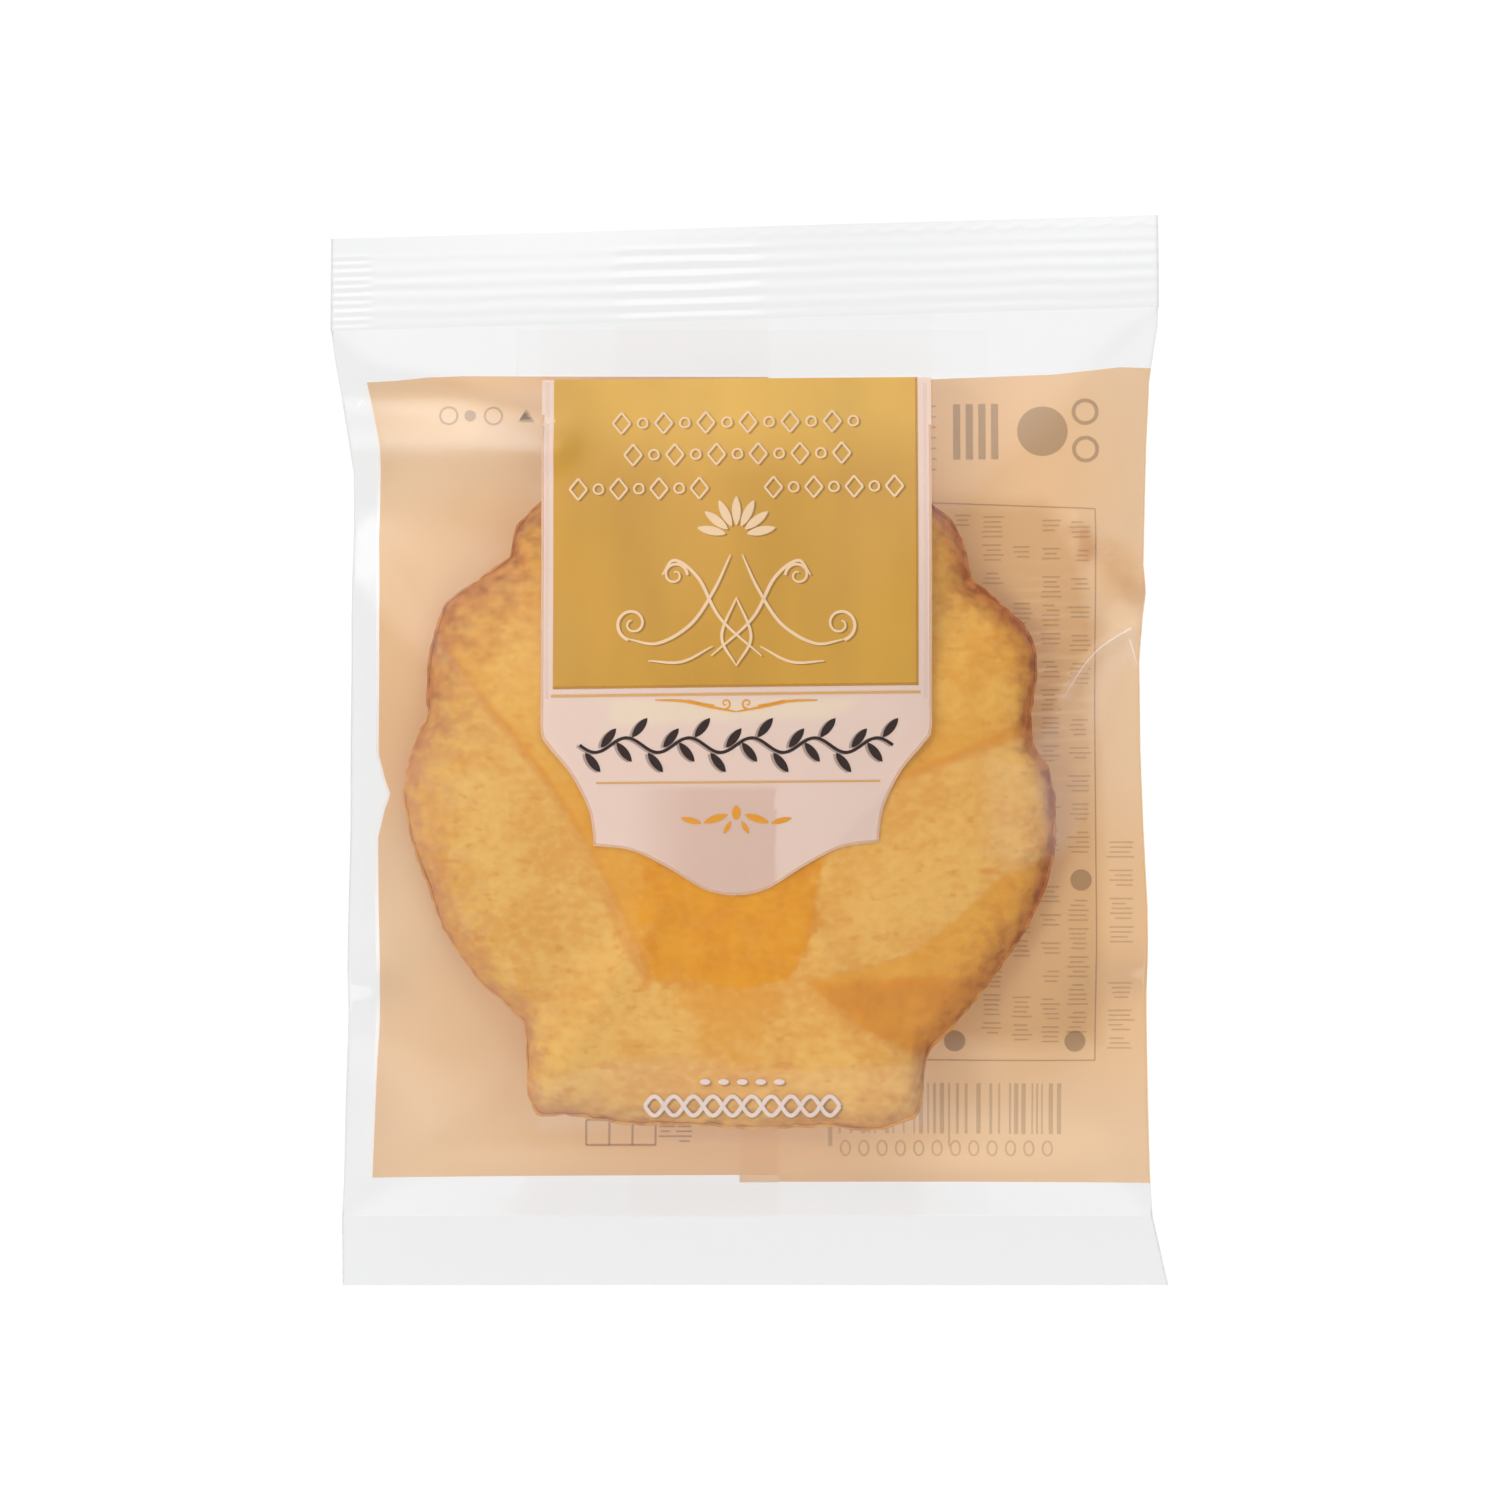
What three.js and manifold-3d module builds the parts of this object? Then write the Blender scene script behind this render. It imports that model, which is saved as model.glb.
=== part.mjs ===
// A shell-shaped butter cake sealed in a clear flow-wrap bag, lying on its back with the label up.
// Millimetres. +X is the pack's right, +Y runs to the top seal, +Z rises out of the label side.
// The origin is the middle of the pack's footprint, on the surface that it rests on.
//
// The bag is one closed solid. Its pillow is two sheets draped over the cake, drawn as rings that
// grow from the cake's crown through its scalloped rim to the bag's edge. A crimped seal closes each
// end, and the fin of the back seam lies folded flat underneath.
import * as THREE from 'three';
import { mergeVertices } from 'three/addons/utils/BufferGeometryUtils.js';
import Module from 'manifold-3d';

const wasm = await Module();
wasm.setup();

// The bag's outline, seen from above.
const BAG_WIDTH = 86.6; // across the widest corners
const WAIST_LEFT = 41.0; // from the middle to the folded side, beside the cake
const WAIST_RIGHT = 40.6;
const TOP_FLARE_LEFT = 2.3; // how far each side spreads again to reach the flat seals
const TOP_FLARE_RIGHT = 1.5;
const BOTTOM_FLARE_LEFT = 1.1;
const BOTTOM_FLARE_RIGHT = 1.1;
const BOTTOM_SEAL_SPREAD = 1.6; // the bottom right corner was cut a little wider
const TOP_SEAL_Y = 44.5; // the line where the top seal starts, at the middle
const BOTTOM_SEAL_Y = -48.1;
const TOP_SEAL_DEPTH = 9.6;
const BOTTOM_SEAL_DEPTH = 7.2;
const TOP_SLANT = Math.tan(THREE.MathUtils.degToRad(1.66)); // the top seal was cut out of square

// The cake inside.
const CAKE_CENTRE = new THREE.Vector2(-2.0, -4.1);
const CAKE_HALF_WIDTH = 33.1;
const CAKE_HALF_LENGTH = 35.0;
const LOBE_PITCH = THREE.MathUtils.degToRad(31.5);
const LOBE_HEIGHT = 0.9;
const LOBED_ARC = THREE.MathUtils.degToRad(112); // to each side of the shell's tip
const HINGE_HALF_WIDTH = 19.6; // the square root of the shell, at the bottom of the cake
const HINGE_REACH = 35.1;

// Heights over the surface that the pack rests on.
const FIN_THICKNESS = 0.35;
const CROWN_Z = 17.6;
const RIM_Z = 12.6; // film over the cake's rim
const FOLD_Z = 8.5; // side folds beside the cake
const SEAL_Z = 7.0;
const SEAL_DROOP = 1.4; // how far a seal's cut edge hangs below its inner line
const FILM_EDGE = 0.4; // the two sheets where they meet
const FLAT_BACK = 0.24; // share of the way to the edge over which the back lies flat
const BACK_RISE = 1.3; // how late the back lifts beyond that: 1 is a straight slope
const TOP_FALL = 1.15; // the same for the label side, from the rim down to the edge

// The back seam's fin.
const FIN_LEFT = -13.6;
const FIN_RIGHT = 2.6;
const FIN_TUCK = 0.5; // how far its ends run on under the seals

// Crimped seals.
const CRIMP_PITCH = 1.45;
const CRIMP_HEIGHT = 0.22;
const SEAL_THICKNESS = 0.4;
const SEAL_OVERLAP = 1.2;

// How finely the surfaces are divided.
const END_STEPS = 28;
const SIDE_STEPS = 30;
const CAKE_RINGS = 8;
const DRAPE_RINGS = 6;
const FIN_COLUMNS = 4;
const FIN_ROWS = 30;
const SEAL_STEPS = 10;

const { smoothstep, lerp } = THREE.MathUtils;

/** Distance from the cake's centre to its rim, for an angle turned from +Y. */
function cakeRadius(angle) {
  const x = Math.sin(angle);
  const y = Math.cos(angle);
  const shell = 1 / Math.hypot(x / CAKE_HALF_WIDTH, y / CAKE_HALF_LENGTH);
  const lobed = 1 - smoothstep(Math.abs(angle), LOBED_ARC - 0.15, LOBED_ARC + 0.15);
  const scalloped = shell + LOBE_HEIGHT * lobed * Math.cos((2 * Math.PI * angle) / LOBE_PITCH);
  if (y > -0.5) return scalloped;
  const hinge = Math.min(HINGE_HALF_WIDTH / Math.abs(x || 1e-9), HINGE_REACH / -y);
  return Math.max(hinge, scalloped * (1 - 0.06 * smoothstep(-y, 0.5, 0.8)));
}

/** The x of the bag's left (-1) or right (+1) folded side at a given y. */
function sideX(side, y) {
  const top = smoothstep(y, 29, TOP_SEAL_Y);
  const bottom = smoothstep(-y, 34, -BOTTOM_SEAL_Y);
  if (side < 0) return -(WAIST_LEFT + TOP_FLARE_LEFT * top + BOTTOM_FLARE_LEFT * bottom);
  return WAIST_RIGHT + TOP_FLARE_RIGHT * top + BOTTOM_FLARE_RIGHT * bottom;
}

/** The y of the line where the top seal starts. */
function topSealY(x) {
  return TOP_SEAL_Y + TOP_SLANT * x;
}

/** Height of the bag's edge: highest beside the cake, falling to the seals at both ends. */
function edgeZ(y) {
  const share = (y - BOTTOM_SEAL_Y) / (TOP_SEAL_Y - BOTTOM_SEAL_Y);
  const away = Math.min(1, Math.abs(2 * share - 1));
  return lerp(FOLD_Z, SEAL_Z, away ** 2.5);
}

/** Height of the label side: a dome over the cake, then a sheet stretched down to the bag's edge. */
function topZ(q, edge) {
  if (q <= 1) return RIM_Z + (CROWN_Z - RIM_Z) * (1 - q * q);
  return edge + (RIM_Z - edge) * (2 - q) ** TOP_FALL;
}

/** Height of the back: flat under the cake, then rising to the bag's edge. */
function backZ(q, edge) {
  const rise = Math.max(0, (q / 2 - FLAT_BACK) / (1 - FLAT_BACK));
  return FIN_THICKNESS + (edge - FIN_THICKNESS) * rise ** BACK_RISE;
}

/** The bag's edge as a closed run of points, counter-clockwise from the bottom left corner. */
function edgePoints() {
  const points = [];
  const left = sideX(-1, BOTTOM_SEAL_Y);
  const right = sideX(1, BOTTOM_SEAL_Y);
  for (let i = 0; i < END_STEPS; i += 1) {
    points.push(new THREE.Vector2(lerp(left, right, i / END_STEPS), BOTTOM_SEAL_Y));
  }
  const topRight = topSealY(sideX(1, TOP_SEAL_Y));
  for (let i = 0; i < SIDE_STEPS; i += 1) {
    const y = lerp(BOTTOM_SEAL_Y, topRight, i / SIDE_STEPS);
    points.push(new THREE.Vector2(sideX(1, y), y));
  }
  const topLeft = topSealY(sideX(-1, TOP_SEAL_Y));
  for (let i = 0; i < END_STEPS; i += 1) {
    const x = lerp(sideX(1, topRight), sideX(-1, topLeft), i / END_STEPS);
    points.push(new THREE.Vector2(x, topSealY(x)));
  }
  for (let i = 0; i < SIDE_STEPS; i += 1) {
    const y = lerp(topLeft, BOTTOM_SEAL_Y, i / SIDE_STEPS);
    points.push(new THREE.Vector2(sideX(-1, y), y));
  }
  return points;
}

/** The spokes that carry the rings: direction, length to the cake's rim, length to the bag's edge. */
function spokes() {
  return edgePoints().map((point) => {
    const reach = point.clone().sub(CAKE_CENTRE);
    return {
      direction: reach.clone().normalize(),
      rim: cakeRadius(Math.atan2(reach.x, reach.y)),
      edge: reach.length(),
    };
  });
}

/**
 * The place on a spoke where ring q crosses it: 0 at the crown, 1 on the rim, 2 on the edge.
 * The rings are round near the crown and take the shell's outline as they near its rim.
 */
function alongSpoke(spoke, q) {
  const inner = q * lerp(CAKE_HALF_WIDTH, spoke.rim, q ** 3);
  const distance = q <= 1 ? inner : lerp(spoke.rim, spoke.edge, q - 1);
  return spoke.direction.clone().multiplyScalar(distance).add(CAKE_CENTRE);
}

/** The ring values from just outside the crown to the bag's edge. */
function ringValues() {
  const inner = Array.from({ length: CAKE_RINGS }, (_, i) => (i + 1) / CAKE_RINGS);
  const outer = Array.from({ length: DRAPE_RINGS }, (_, i) => 1 + (i + 1) / DRAPE_RINGS);
  return [...inner, ...outer];
}

function indexed(vertices, triangles) {
  const geometry = new THREE.BufferGeometry();
  geometry.setAttribute('position', new THREE.Float32BufferAttribute(vertices, 3));
  geometry.setIndex(triangles);
  return geometry;
}

/** The closed pillow: a fan of rings for the label side and one for the back, joined at the edge. */
function pillow() {
  const rays = spokes();
  const rings = ringValues();
  const vertices = [];
  const triangles = [];
  const count = rays.length;

  function sheet(height, lift, facingUp) {
    const centre = vertices.length / 3;
    vertices.push(CAKE_CENTRE.x, CAKE_CENTRE.y, height(0, edgeZ(CAKE_CENTRE.y)));
    for (const q of rings) {
      for (const ray of rays) {
        const spot = alongSpoke(ray, q);
        vertices.push(spot.x, spot.y, height(q, edgeZ(spot.y)) + (lift * q) / 2);
      }
    }
    const add = (a, b, c) => (facingUp ? triangles.push(a, b, c) : triangles.push(a, c, b));
    for (let i = 0; i < count; i += 1) {
      const next = (i + 1) % count;
      add(centre, centre + 1 + i, centre + 1 + next);
      for (let ring = 0; ring + 1 < rings.length; ring += 1) {
        const near = centre + 1 + ring * count;
        const far = near + count;
        add(near + i, far + i, far + next);
        add(near + i, far + next, near + next);
      }
    }
    return centre + 1 + (rings.length - 1) * count;
  }

  const upper = sheet(topZ, FILM_EDGE / 2, true);
  const lower = sheet(backZ, -FILM_EDGE / 2, false);
  for (let i = 0; i < count; i += 1) {
    const next = (i + 1) % count;
    triangles.push(upper + i, lower + i, lower + next);
    triangles.push(upper + i, lower + next, upper + next);
  }
  return indexed(vertices, triangles);
}

/** The back's height and the pillow's mid height at any place under the pack. */
function heightsAt(x, y) {
  const reach = new THREE.Vector2(x, y).sub(CAKE_CENTRE);
  const distance = reach.length();
  const rim = cakeRadius(Math.atan2(reach.x, reach.y));
  const limitY = reach.y > 0 ? topSealY(x) : BOTTOM_SEAL_Y;
  const edge = (distance * (limitY - CAKE_CENTRE.y)) / (reach.y || 1e-9);
  const inner = distance / lerp(CAKE_HALF_WIDTH, rim, Math.min(1, distance / rim) ** 3);
  const q = distance <= rim ? inner : Math.min(2, 1 + (distance - rim) / (edge - rim));
  const back = backZ(q, edgeZ(y));
  return { back, middle: lerp(back, topZ(q, edgeZ(y)), 0.5) };
}

/** The folded fin: a thin strip that follows the back from seal to seal. */
function fin() {
  const vertices = [];
  const triangles = [];
  const rowLength = FIN_COLUMNS + 1;
  const layer = (FIN_ROWS + 1) * rowLength;
  for (const outside of [false, true]) {
    for (let row = 0; row <= FIN_ROWS; row += 1) {
      for (let column = 0; column <= FIN_COLUMNS; column += 1) {
        const x = lerp(FIN_LEFT, FIN_RIGHT, column / FIN_COLUMNS);
        const y = lerp(BOTTOM_SEAL_Y - FIN_TUCK, topSealY(x) + FIN_TUCK, row / FIN_ROWS);
        const { back, middle } = heightsAt(x, y);
        vertices.push(x, y, outside ? back - FIN_THICKNESS : middle);
      }
    }
  }
  const quad = (a, b, c, d) => triangles.push(a, b, c, a, c, d);
  for (let row = 0; row < FIN_ROWS; row += 1) {
    for (let column = 0; column < FIN_COLUMNS; column += 1) {
      const a = row * rowLength + column;
      quad(a, a + 1, a + 1 + rowLength, a + rowLength);
      quad(a + layer, a + rowLength + layer, a + 1 + rowLength + layer, a + 1 + layer);
    }
    const left = row * rowLength;
    const right = left + FIN_COLUMNS;
    quad(left, left + rowLength, left + rowLength + layer, left + layer);
    quad(right, right + layer, right + rowLength + layer, right + rowLength);
  }
  for (let column = 0; column < FIN_COLUMNS; column += 1) {
    const far = FIN_ROWS * rowLength + column;
    quad(column, column + layer, column + 1 + layer, column + 1);
    quad(far, far + 1, far + 1 + layer, far + layer);
  }
  return indexed(vertices, triangles);
}

/** A flat seal along X with crimped faces, from y = -SEAL_OVERLAP out to y = depth. */
function crimpedPlate(width, depth) {
  const steps = Math.round((depth + SEAL_OVERLAP) / (CRIMP_PITCH / 2));
  const wave = Array.from({ length: steps + 1 }, (_, i) => {
    const y = lerp(-SEAL_OVERLAP, depth, i / steps);
    const z = i === 0 || i === steps ? 0 : (CRIMP_HEIGHT * (i % 2 ? 1 : -1)) / 2;
    return new THREE.Vector2(y, z);
  });
  const top = wave.map((p) => new THREE.Vector2(p.x, p.y + SEAL_THICKNESS / 2));
  const bottom = wave.map((p) => new THREE.Vector2(p.x, p.y - SEAL_THICKNESS / 2));
  const section = new THREE.Shape([...bottom, ...top.reverse()]);
  const geometry = new THREE.ExtrudeGeometry(section, { depth: width, steps: SEAL_STEPS, bevelEnabled: false });
  const turned = new THREE.Matrix4().makeBasis(
    new THREE.Vector3(0, 1, 0),
    new THREE.Vector3(0, 0, 1),
    new THREE.Vector3(1, 0, 0),
  );
  return geometry.applyMatrix4(turned);
}

/** Moves every vertex of a geometry by a rule that changes the point it is given. */
function reshape(geometry, rule) {
  const position = geometry.attributes.position;
  const point = new THREE.Vector3();
  for (let i = 0; i < position.count; i += 1) {
    point.fromBufferAttribute(position, i);
    rule(point);
    position.setXYZ(i, point.x, point.y, point.z);
  }
  return geometry;
}

function topSeal() {
  const left = -BAG_WIDTH / 2;
  const width = sideX(1, TOP_SEAL_Y) - left;
  return reshape(crimpedPlate(width, TOP_SEAL_DEPTH), (point) => {
    point.z += SEAL_Z - (SEAL_DROOP * Math.max(0, point.y)) / TOP_SEAL_DEPTH;
    point.x += left;
    point.y += topSealY(point.x);
  });
}

function bottomSeal() {
  const left = sideX(-1, BOTTOM_SEAL_Y);
  const width = BAG_WIDTH / 2 - BOTTOM_SEAL_SPREAD - left;
  return reshape(crimpedPlate(width, BOTTOM_SEAL_DEPTH), (point) => {
    const outward = Math.max(0, point.y) / BOTTOM_SEAL_DEPTH;
    const spread = (point.x / width) * BOTTOM_SEAL_SPREAD * outward;
    const turned = new THREE.Vector3(width - point.x - spread, -point.y, point.z);
    point.set(left + width - turned.x, BOTTOM_SEAL_Y + turned.y, SEAL_Z + turned.z - SEAL_DROOP * outward);
  });
}

/** A merged, closed solid made from a geometry; mirrored ones are turned the right way out. */
function solid(geometry, mirrored = false) {
  geometry.deleteAttribute('normal');
  geometry.deleteAttribute('uv');
  const welded = mergeVertices(geometry, 1e-4);
  const triVerts = new Uint32Array(welded.index.array);
  if (mirrored) {
    for (let i = 0; i < triVerts.length; i += 3) {
      [triVerts[i], triVerts[i + 1]] = [triVerts[i + 1], triVerts[i]];
    }
  }
  const vertProperties = new Float32Array(welded.attributes.position.array);
  return new wasm.Manifold(new wasm.Mesh({ numProp: 3, vertProperties, triVerts }));
}

function geometryOf(manifold) {
  const mesh = manifold.getMesh();
  const geometry = indexed(Array.from(mesh.vertProperties), Array.from(mesh.triVerts));
  geometry.computeVertexNormals();
  return geometry;
}

/** The whole sealed bag, set down with its footprint centred on the origin. */
function bag() {
  const body = solid(pillow()).add(solid(fin())).add(solid(topSeal())).add(solid(bottomSeal(), true));
  const geometry = geometryOf(body);
  geometry.computeBoundingBox();
  const { min, max } = geometry.boundingBox;
  geometry.translate(-(min.x + max.x) / 2, -(min.y + max.y) / 2, -min.z);
  const film = new THREE.MeshStandardMaterial({ color: 0xe6c79e, roughness: 0.35, metalness: 0 });
  const mesh = new THREE.Mesh(geometry, film);
  mesh.name = 'bag';
  return mesh;
}

const pack = new THREE.Group();
pack.add(bag());

export default pack;
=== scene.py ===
import bpy
import numpy as np
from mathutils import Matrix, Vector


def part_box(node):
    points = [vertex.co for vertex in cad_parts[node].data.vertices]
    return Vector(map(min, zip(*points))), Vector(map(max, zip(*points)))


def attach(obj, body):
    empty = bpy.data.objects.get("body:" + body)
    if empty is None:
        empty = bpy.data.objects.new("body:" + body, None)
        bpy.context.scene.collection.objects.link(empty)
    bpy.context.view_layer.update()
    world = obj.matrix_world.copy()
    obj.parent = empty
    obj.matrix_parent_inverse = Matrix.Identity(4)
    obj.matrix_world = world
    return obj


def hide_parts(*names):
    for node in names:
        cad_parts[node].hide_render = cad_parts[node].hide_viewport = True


# A shell-shaped butter cake sealed in a clear flow-wrap bag, lying on its back with the label up.
# Shapes are worked out in millimetres, +X to the pack's right, +Y to the top seal and +Z up, and
# turned into metres where they become meshes. The bag's box from the frame sets the overall size.
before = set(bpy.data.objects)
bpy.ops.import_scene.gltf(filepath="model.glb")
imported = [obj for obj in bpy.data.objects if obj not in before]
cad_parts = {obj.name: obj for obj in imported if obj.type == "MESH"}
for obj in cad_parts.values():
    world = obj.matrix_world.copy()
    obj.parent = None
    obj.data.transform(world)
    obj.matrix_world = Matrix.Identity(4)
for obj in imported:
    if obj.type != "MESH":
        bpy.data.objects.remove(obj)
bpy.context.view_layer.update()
MM = 0.001
BAG_LOW, BAG_HIGH = (np.array(corner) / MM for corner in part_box("bag"))


# ---- The camera -------------------------------------------------------------------------------
# It looks straight down from far off with a long lens, so that the pack's outline is nearly flat.
PICTURE_WIDTH = 154.8  # mm across the square picture, at the height of the bag's edge
EDGE_HEIGHT = 7.0
LENS = 200.0
SENSOR = 36.0

camera_data = bpy.data.cameras.new("camera")
camera_data.lens = LENS
camera_data.sensor_width = SENSOR
camera = bpy.data.objects.new("camera", camera_data)
camera.location = (0.0, 0.0, (EDGE_HEIGHT + PICTURE_WIDTH * LENS / SENSOR) * MM)
bpy.context.collection.objects.link(camera)
bpy.context.scene.camera = camera


# ---- The studio -------------------------------------------------------------------------------
# A white table that glows from below, as a light table does, under five soft boxes in a pale room.
# The film mirrors the room alone, which is brighter to the upper left, so it shows no box's edges.
def ink(red, green, blue):
    """Linear colour of an 8-bit screen colour: c/12.92 below 0.04045, else ((c+0.055)/1.055)^2.4."""
    c = np.array([red, green, blue]) / 255
    linear = np.where(c < 0.04045, c / 12.92, ((c + 0.055) / 1.055) ** 2.4)
    return (*linear.tolist(), 1.0)


class Nodes:
    """A node tree with short ways to add to it. Every input takes a number, a colour, another node's
    output, or None for its own default."""

    def __init__(self, tree):
        self.tree = tree

    def feed(self, socket, value):
        """Links a node's output to a socket, or sets the socket's own value."""
        if isinstance(value, bpy.types.NodeSocket):
            self.tree.links.new(value, socket)
        elif value is not None:
            socket.default_value = value

    def add(self, kind, *values, **settings):
        """A new node with these settings and these values in its first sockets."""
        node = self.tree.nodes.new("ShaderNode" + kind)
        for name, value in settings.items():
            setattr(node, name, value)
        for socket, value in zip(node.inputs, values):
            self.feed(socket, value)
        return node

    def math(self, operation, *values):
        return self.add("Math", *values, operation=operation).outputs[0]

    def attribute(self, name):
        return self.add("Attribute", attribute_name=name).outputs["Fac"]

    def noise(self, size, detail, stretch=(1, 1, 1)):
        """Noise of about this size in mm on the object's coordinates."""
        place = self.add("TexCoord").outputs["Object"]
        scaled = self.add("VectorMath", place, stretch, operation="MULTIPLY").outputs[0]
        return self.add("TexNoise", scaled, None, 1 / (size * MM), detail).outputs["Fac"]

    def ramp(self, value, low, high):
        """0 below low, 1 above high, smooth between."""
        return self.add("MapRange", value, low, high, interpolation_type="SMOOTHSTEP").outputs["Result"]

    def blend(self, share, first, second):
        """The first colour where the share is 0, the second where it is 1."""
        node = self.add("Mix", share, data_type="RGBA")
        self.feed(node.inputs[6], first)
        self.feed(node.inputs[7], second)
        return node.outputs[2]


def new_material(name, **values):
    """A material whose Principled shader has these socket values; returns it, its nodes and shader."""
    material = bpy.data.materials.new(name)
    material.use_nodes = True
    nodes = Nodes(material.node_tree)
    shader = material.node_tree.nodes["Principled BSDF"]
    for socket, value in values.items():
        nodes.feed(shader.inputs[socket.replace("_", " ")], value)
    return material, nodes, shader


FLOOR_HALF = 1600.0
FLOOR_GLOW = 0.975
FLOOR_SHADE = 0.05  # how much of the soft boxes' light the table gives back
BOXES = [  # name, where its middle is, its two sides, watts
    ("box_left", (-560, -60, 600), (450, 450), 3.3),
    ("box_right", (640, 60, 520), (700, 700), 0.3),
    ("box_top", (60, 700, 620), (900, 500), 2.1),
    ("box_front", (0, -640, 700), (900, 300), 2.5),
    ("box_over", (0, 0, 1000), (900, 900), 0.8),
]

floor_material, nodes, shader = new_material(
    "light_table", Base_Color=(FLOOR_SHADE,) * 3 + (1,), Roughness=0.9, Specular_IOR_Level=0.0,
    Emission_Color=(1, 1, 1, 1), Emission_Strength=FLOOR_GLOW)
floor_mesh = bpy.data.meshes.new("floor")
corners = np.array([(-1, -1, 0), (1, -1, 0), (1, 1, 0), (-1, 1, 0)]) * FLOOR_HALF * MM
floor_mesh.from_pydata(corners.tolist(), [], [(0, 1, 2, 3)])
floor_mesh.materials.append(floor_material)
floor = bpy.data.objects.new("floor", floor_mesh)
bpy.context.collection.objects.link(floor)

for name, place, sides, watts in BOXES:
    light = bpy.data.lights.new(name, "AREA")
    light.shape = "RECTANGLE"
    light.size, light.size_y = (side * MM for side in sides)
    light.energy = watts
    lamp = bpy.data.objects.new(name, light)
    lamp.location = np.array(place) * MM
    lamp.visible_glossy = False
    lamp.rotation_mode = "QUATERNION"
    lamp.rotation_quaternion = lamp.location.to_track_quat("Z", "Y")
    bpy.context.collection.objects.link(lamp)

ROOM_DIM = (0.34, 0.345, 0.35, 1)
ROOM_BRIGHT = (1.25, 1.25, 1.25, 1)
ROOM_LIGHT = (-0.34, 0.77, 0.54)  # where the room is brightest
ROOM_FADE = 0.62  # cosine of the angle from there at which it is down to the dim colour

room = bpy.data.worlds.new("room")
room.use_nodes = True
nodes = Nodes(room.node_tree)
direction = nodes.add("TexCoord").outputs["Generated"]
towards = nodes.add("VectorMath", direction, ROOM_LIGHT, operation="DOT_PRODUCT").outputs["Value"]
backdrop = room.node_tree.nodes["Background"]
brightness = nodes.ramp(towards, ROOM_FADE, 1.0)
nodes.feed(backdrop.inputs["Color"], nodes.blend(brightness, ROOM_DIM, ROOM_BRIGHT))
bpy.context.scene.world = room
bpy.context.scene.view_settings.view_transform = "Standard"


# ---- The cake: its form -----------------------------------------------------------------------
# A butter cake baked in a shell-shaped tin, lying with its smooth humped face up. Its outline has
# seven lobes and a square root at the bottom, and its ribbed side is underneath.
CAKE_CENTRE = np.array([-2.0, -4.1])
CROWN_HEIGHT = 17.3
RIM_HEIGHT = 12.0
RIM_ROUNDING = 1.2
RIM_BAND = 0.07  # the share of the radius over which the top face rolls over to the rim
RIM_DEPTH = 1.6
CROWN_POWER = 2.2
UNDER_HEIGHT = 1.0
UNDER_POWER = 3.2
ROOT = CAKE_CENTRE + (0.3, -30.0)  # the ribs fan out from here
RIB_PITCH = np.radians(16.2)
RIB_TURN = np.radians(0.6)
RIB_DEPTH = 0.6
OUTLINE = np.array([  # degrees clockwise from the shell's tip, and mm from the cake's centre
    (-175.6, 34.4), (-162.9, 35.7), (-153.4, 37.2), (-149.2, 38.5), (-147.0, 37.7), (-143.0, 34.6),
    (-137.6, 31.7), (-127.9, 32.1), (-117.9, 32.5), (-108.0, 32.6), (-91.0, 33.3), (-83.0, 32.9),
    (-76.5, 31.8), (-70.0, 33.0), (-61.7, 34.2), (-56.6, 34.7), (-50.6, 33.5), (-44.1, 32.8),
    (-39.4, 34.6), (-33.6, 35.1), (-24.0, 35.2), (-15.5, 34.4), (-8.0, 35.4), (0.0, 35.7), (8.0, 35.4),
    (16.0, 34.4), (25.0, 35.3), (37.4, 35.7), (42.7, 34.8), (49.0, 32.8), (54.8, 33.5), (63.4, 34.4),
    (69.0, 33.5), (78.4, 31.4), (81.8, 31.3), (85.8, 32.5), (91.8, 33.2), (101.5, 33.6), (111.6, 33.6),
    (122.0, 32.9), (132.7, 33.0), (142.2, 33.5), (144.7, 34.5), (150.6, 38.3), (154.5, 38.1),
    (166.2, 35.3)])


def rim_radius(angle):
    """The outline's radius at an angle: a cubic between its points whose slope at each point is the
    harmonic mean of the slopes on both sides, or none where they differ in sign."""
    turn = np.radians(np.concatenate([OUTLINE[-2:, 0] - 360, OUTLINE[:, 0], OUTLINE[:2, 0] + 360]))
    radius = np.concatenate([OUTLINE[-2:, 1], OUTLINE[:, 1], OUTLINE[:2, 1]])
    step = np.diff(turn)
    slope = np.diff(radius) / step
    product = slope[1:] * slope[:-1]
    bend = np.zeros_like(radius)
    bend[1:-1] = np.where(product > 0, 2 * product / (slope[1:] + slope[:-1] + 1e-12), 0)
    angle = (angle + np.pi) % (2 * np.pi) - np.pi
    k = np.clip(np.searchsorted(turn, angle, side="right") - 1, 1, len(turn) - 3)
    t = (angle - turn[k]) / step[k]
    return (
        (2 * t**3 - 3 * t**2 + 1) * radius[k]
        + (3 * t**2 - 2 * t**3) * radius[k + 1]
        + (t**3 - 2 * t**2 + t) * step[k] * bend[k]
        + (t**3 - t**2) * step[k] * bend[k + 1]
    )


def cake_top(q):
    """Height of the smooth face at a share q of the rim's radius: a dome, rolled over at its rim."""
    dome = RIM_HEIGHT + (CROWN_HEIGHT - RIM_HEIGHT) * (1 - q**CROWN_POWER)
    return dome - RIM_ROUNDING * np.clip((q - 1 + RIM_BAND) / RIM_BAND, 0, 1) ** 2


def cake_under(q, x, y):
    """Height of the ribbed side: a shallow bowl with cosine ribs that fan out from the root."""
    bowl = UNDER_HEIGHT + (RIM_HEIGHT - RIM_DEPTH - UNDER_HEIGHT) * q**UNDER_POWER
    fan = np.arctan2(x - ROOT[0], y - ROOT[1]) - RIB_TURN
    reach = np.clip((np.hypot(x - ROOT[0], y - ROOT[1]) - 10) / 22, 0, 1)
    return bowl - RIB_DEPTH * reach * np.cos(fan / RIB_PITCH * 2 * np.pi) * np.clip(1.35 - q, 0, 1)


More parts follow.
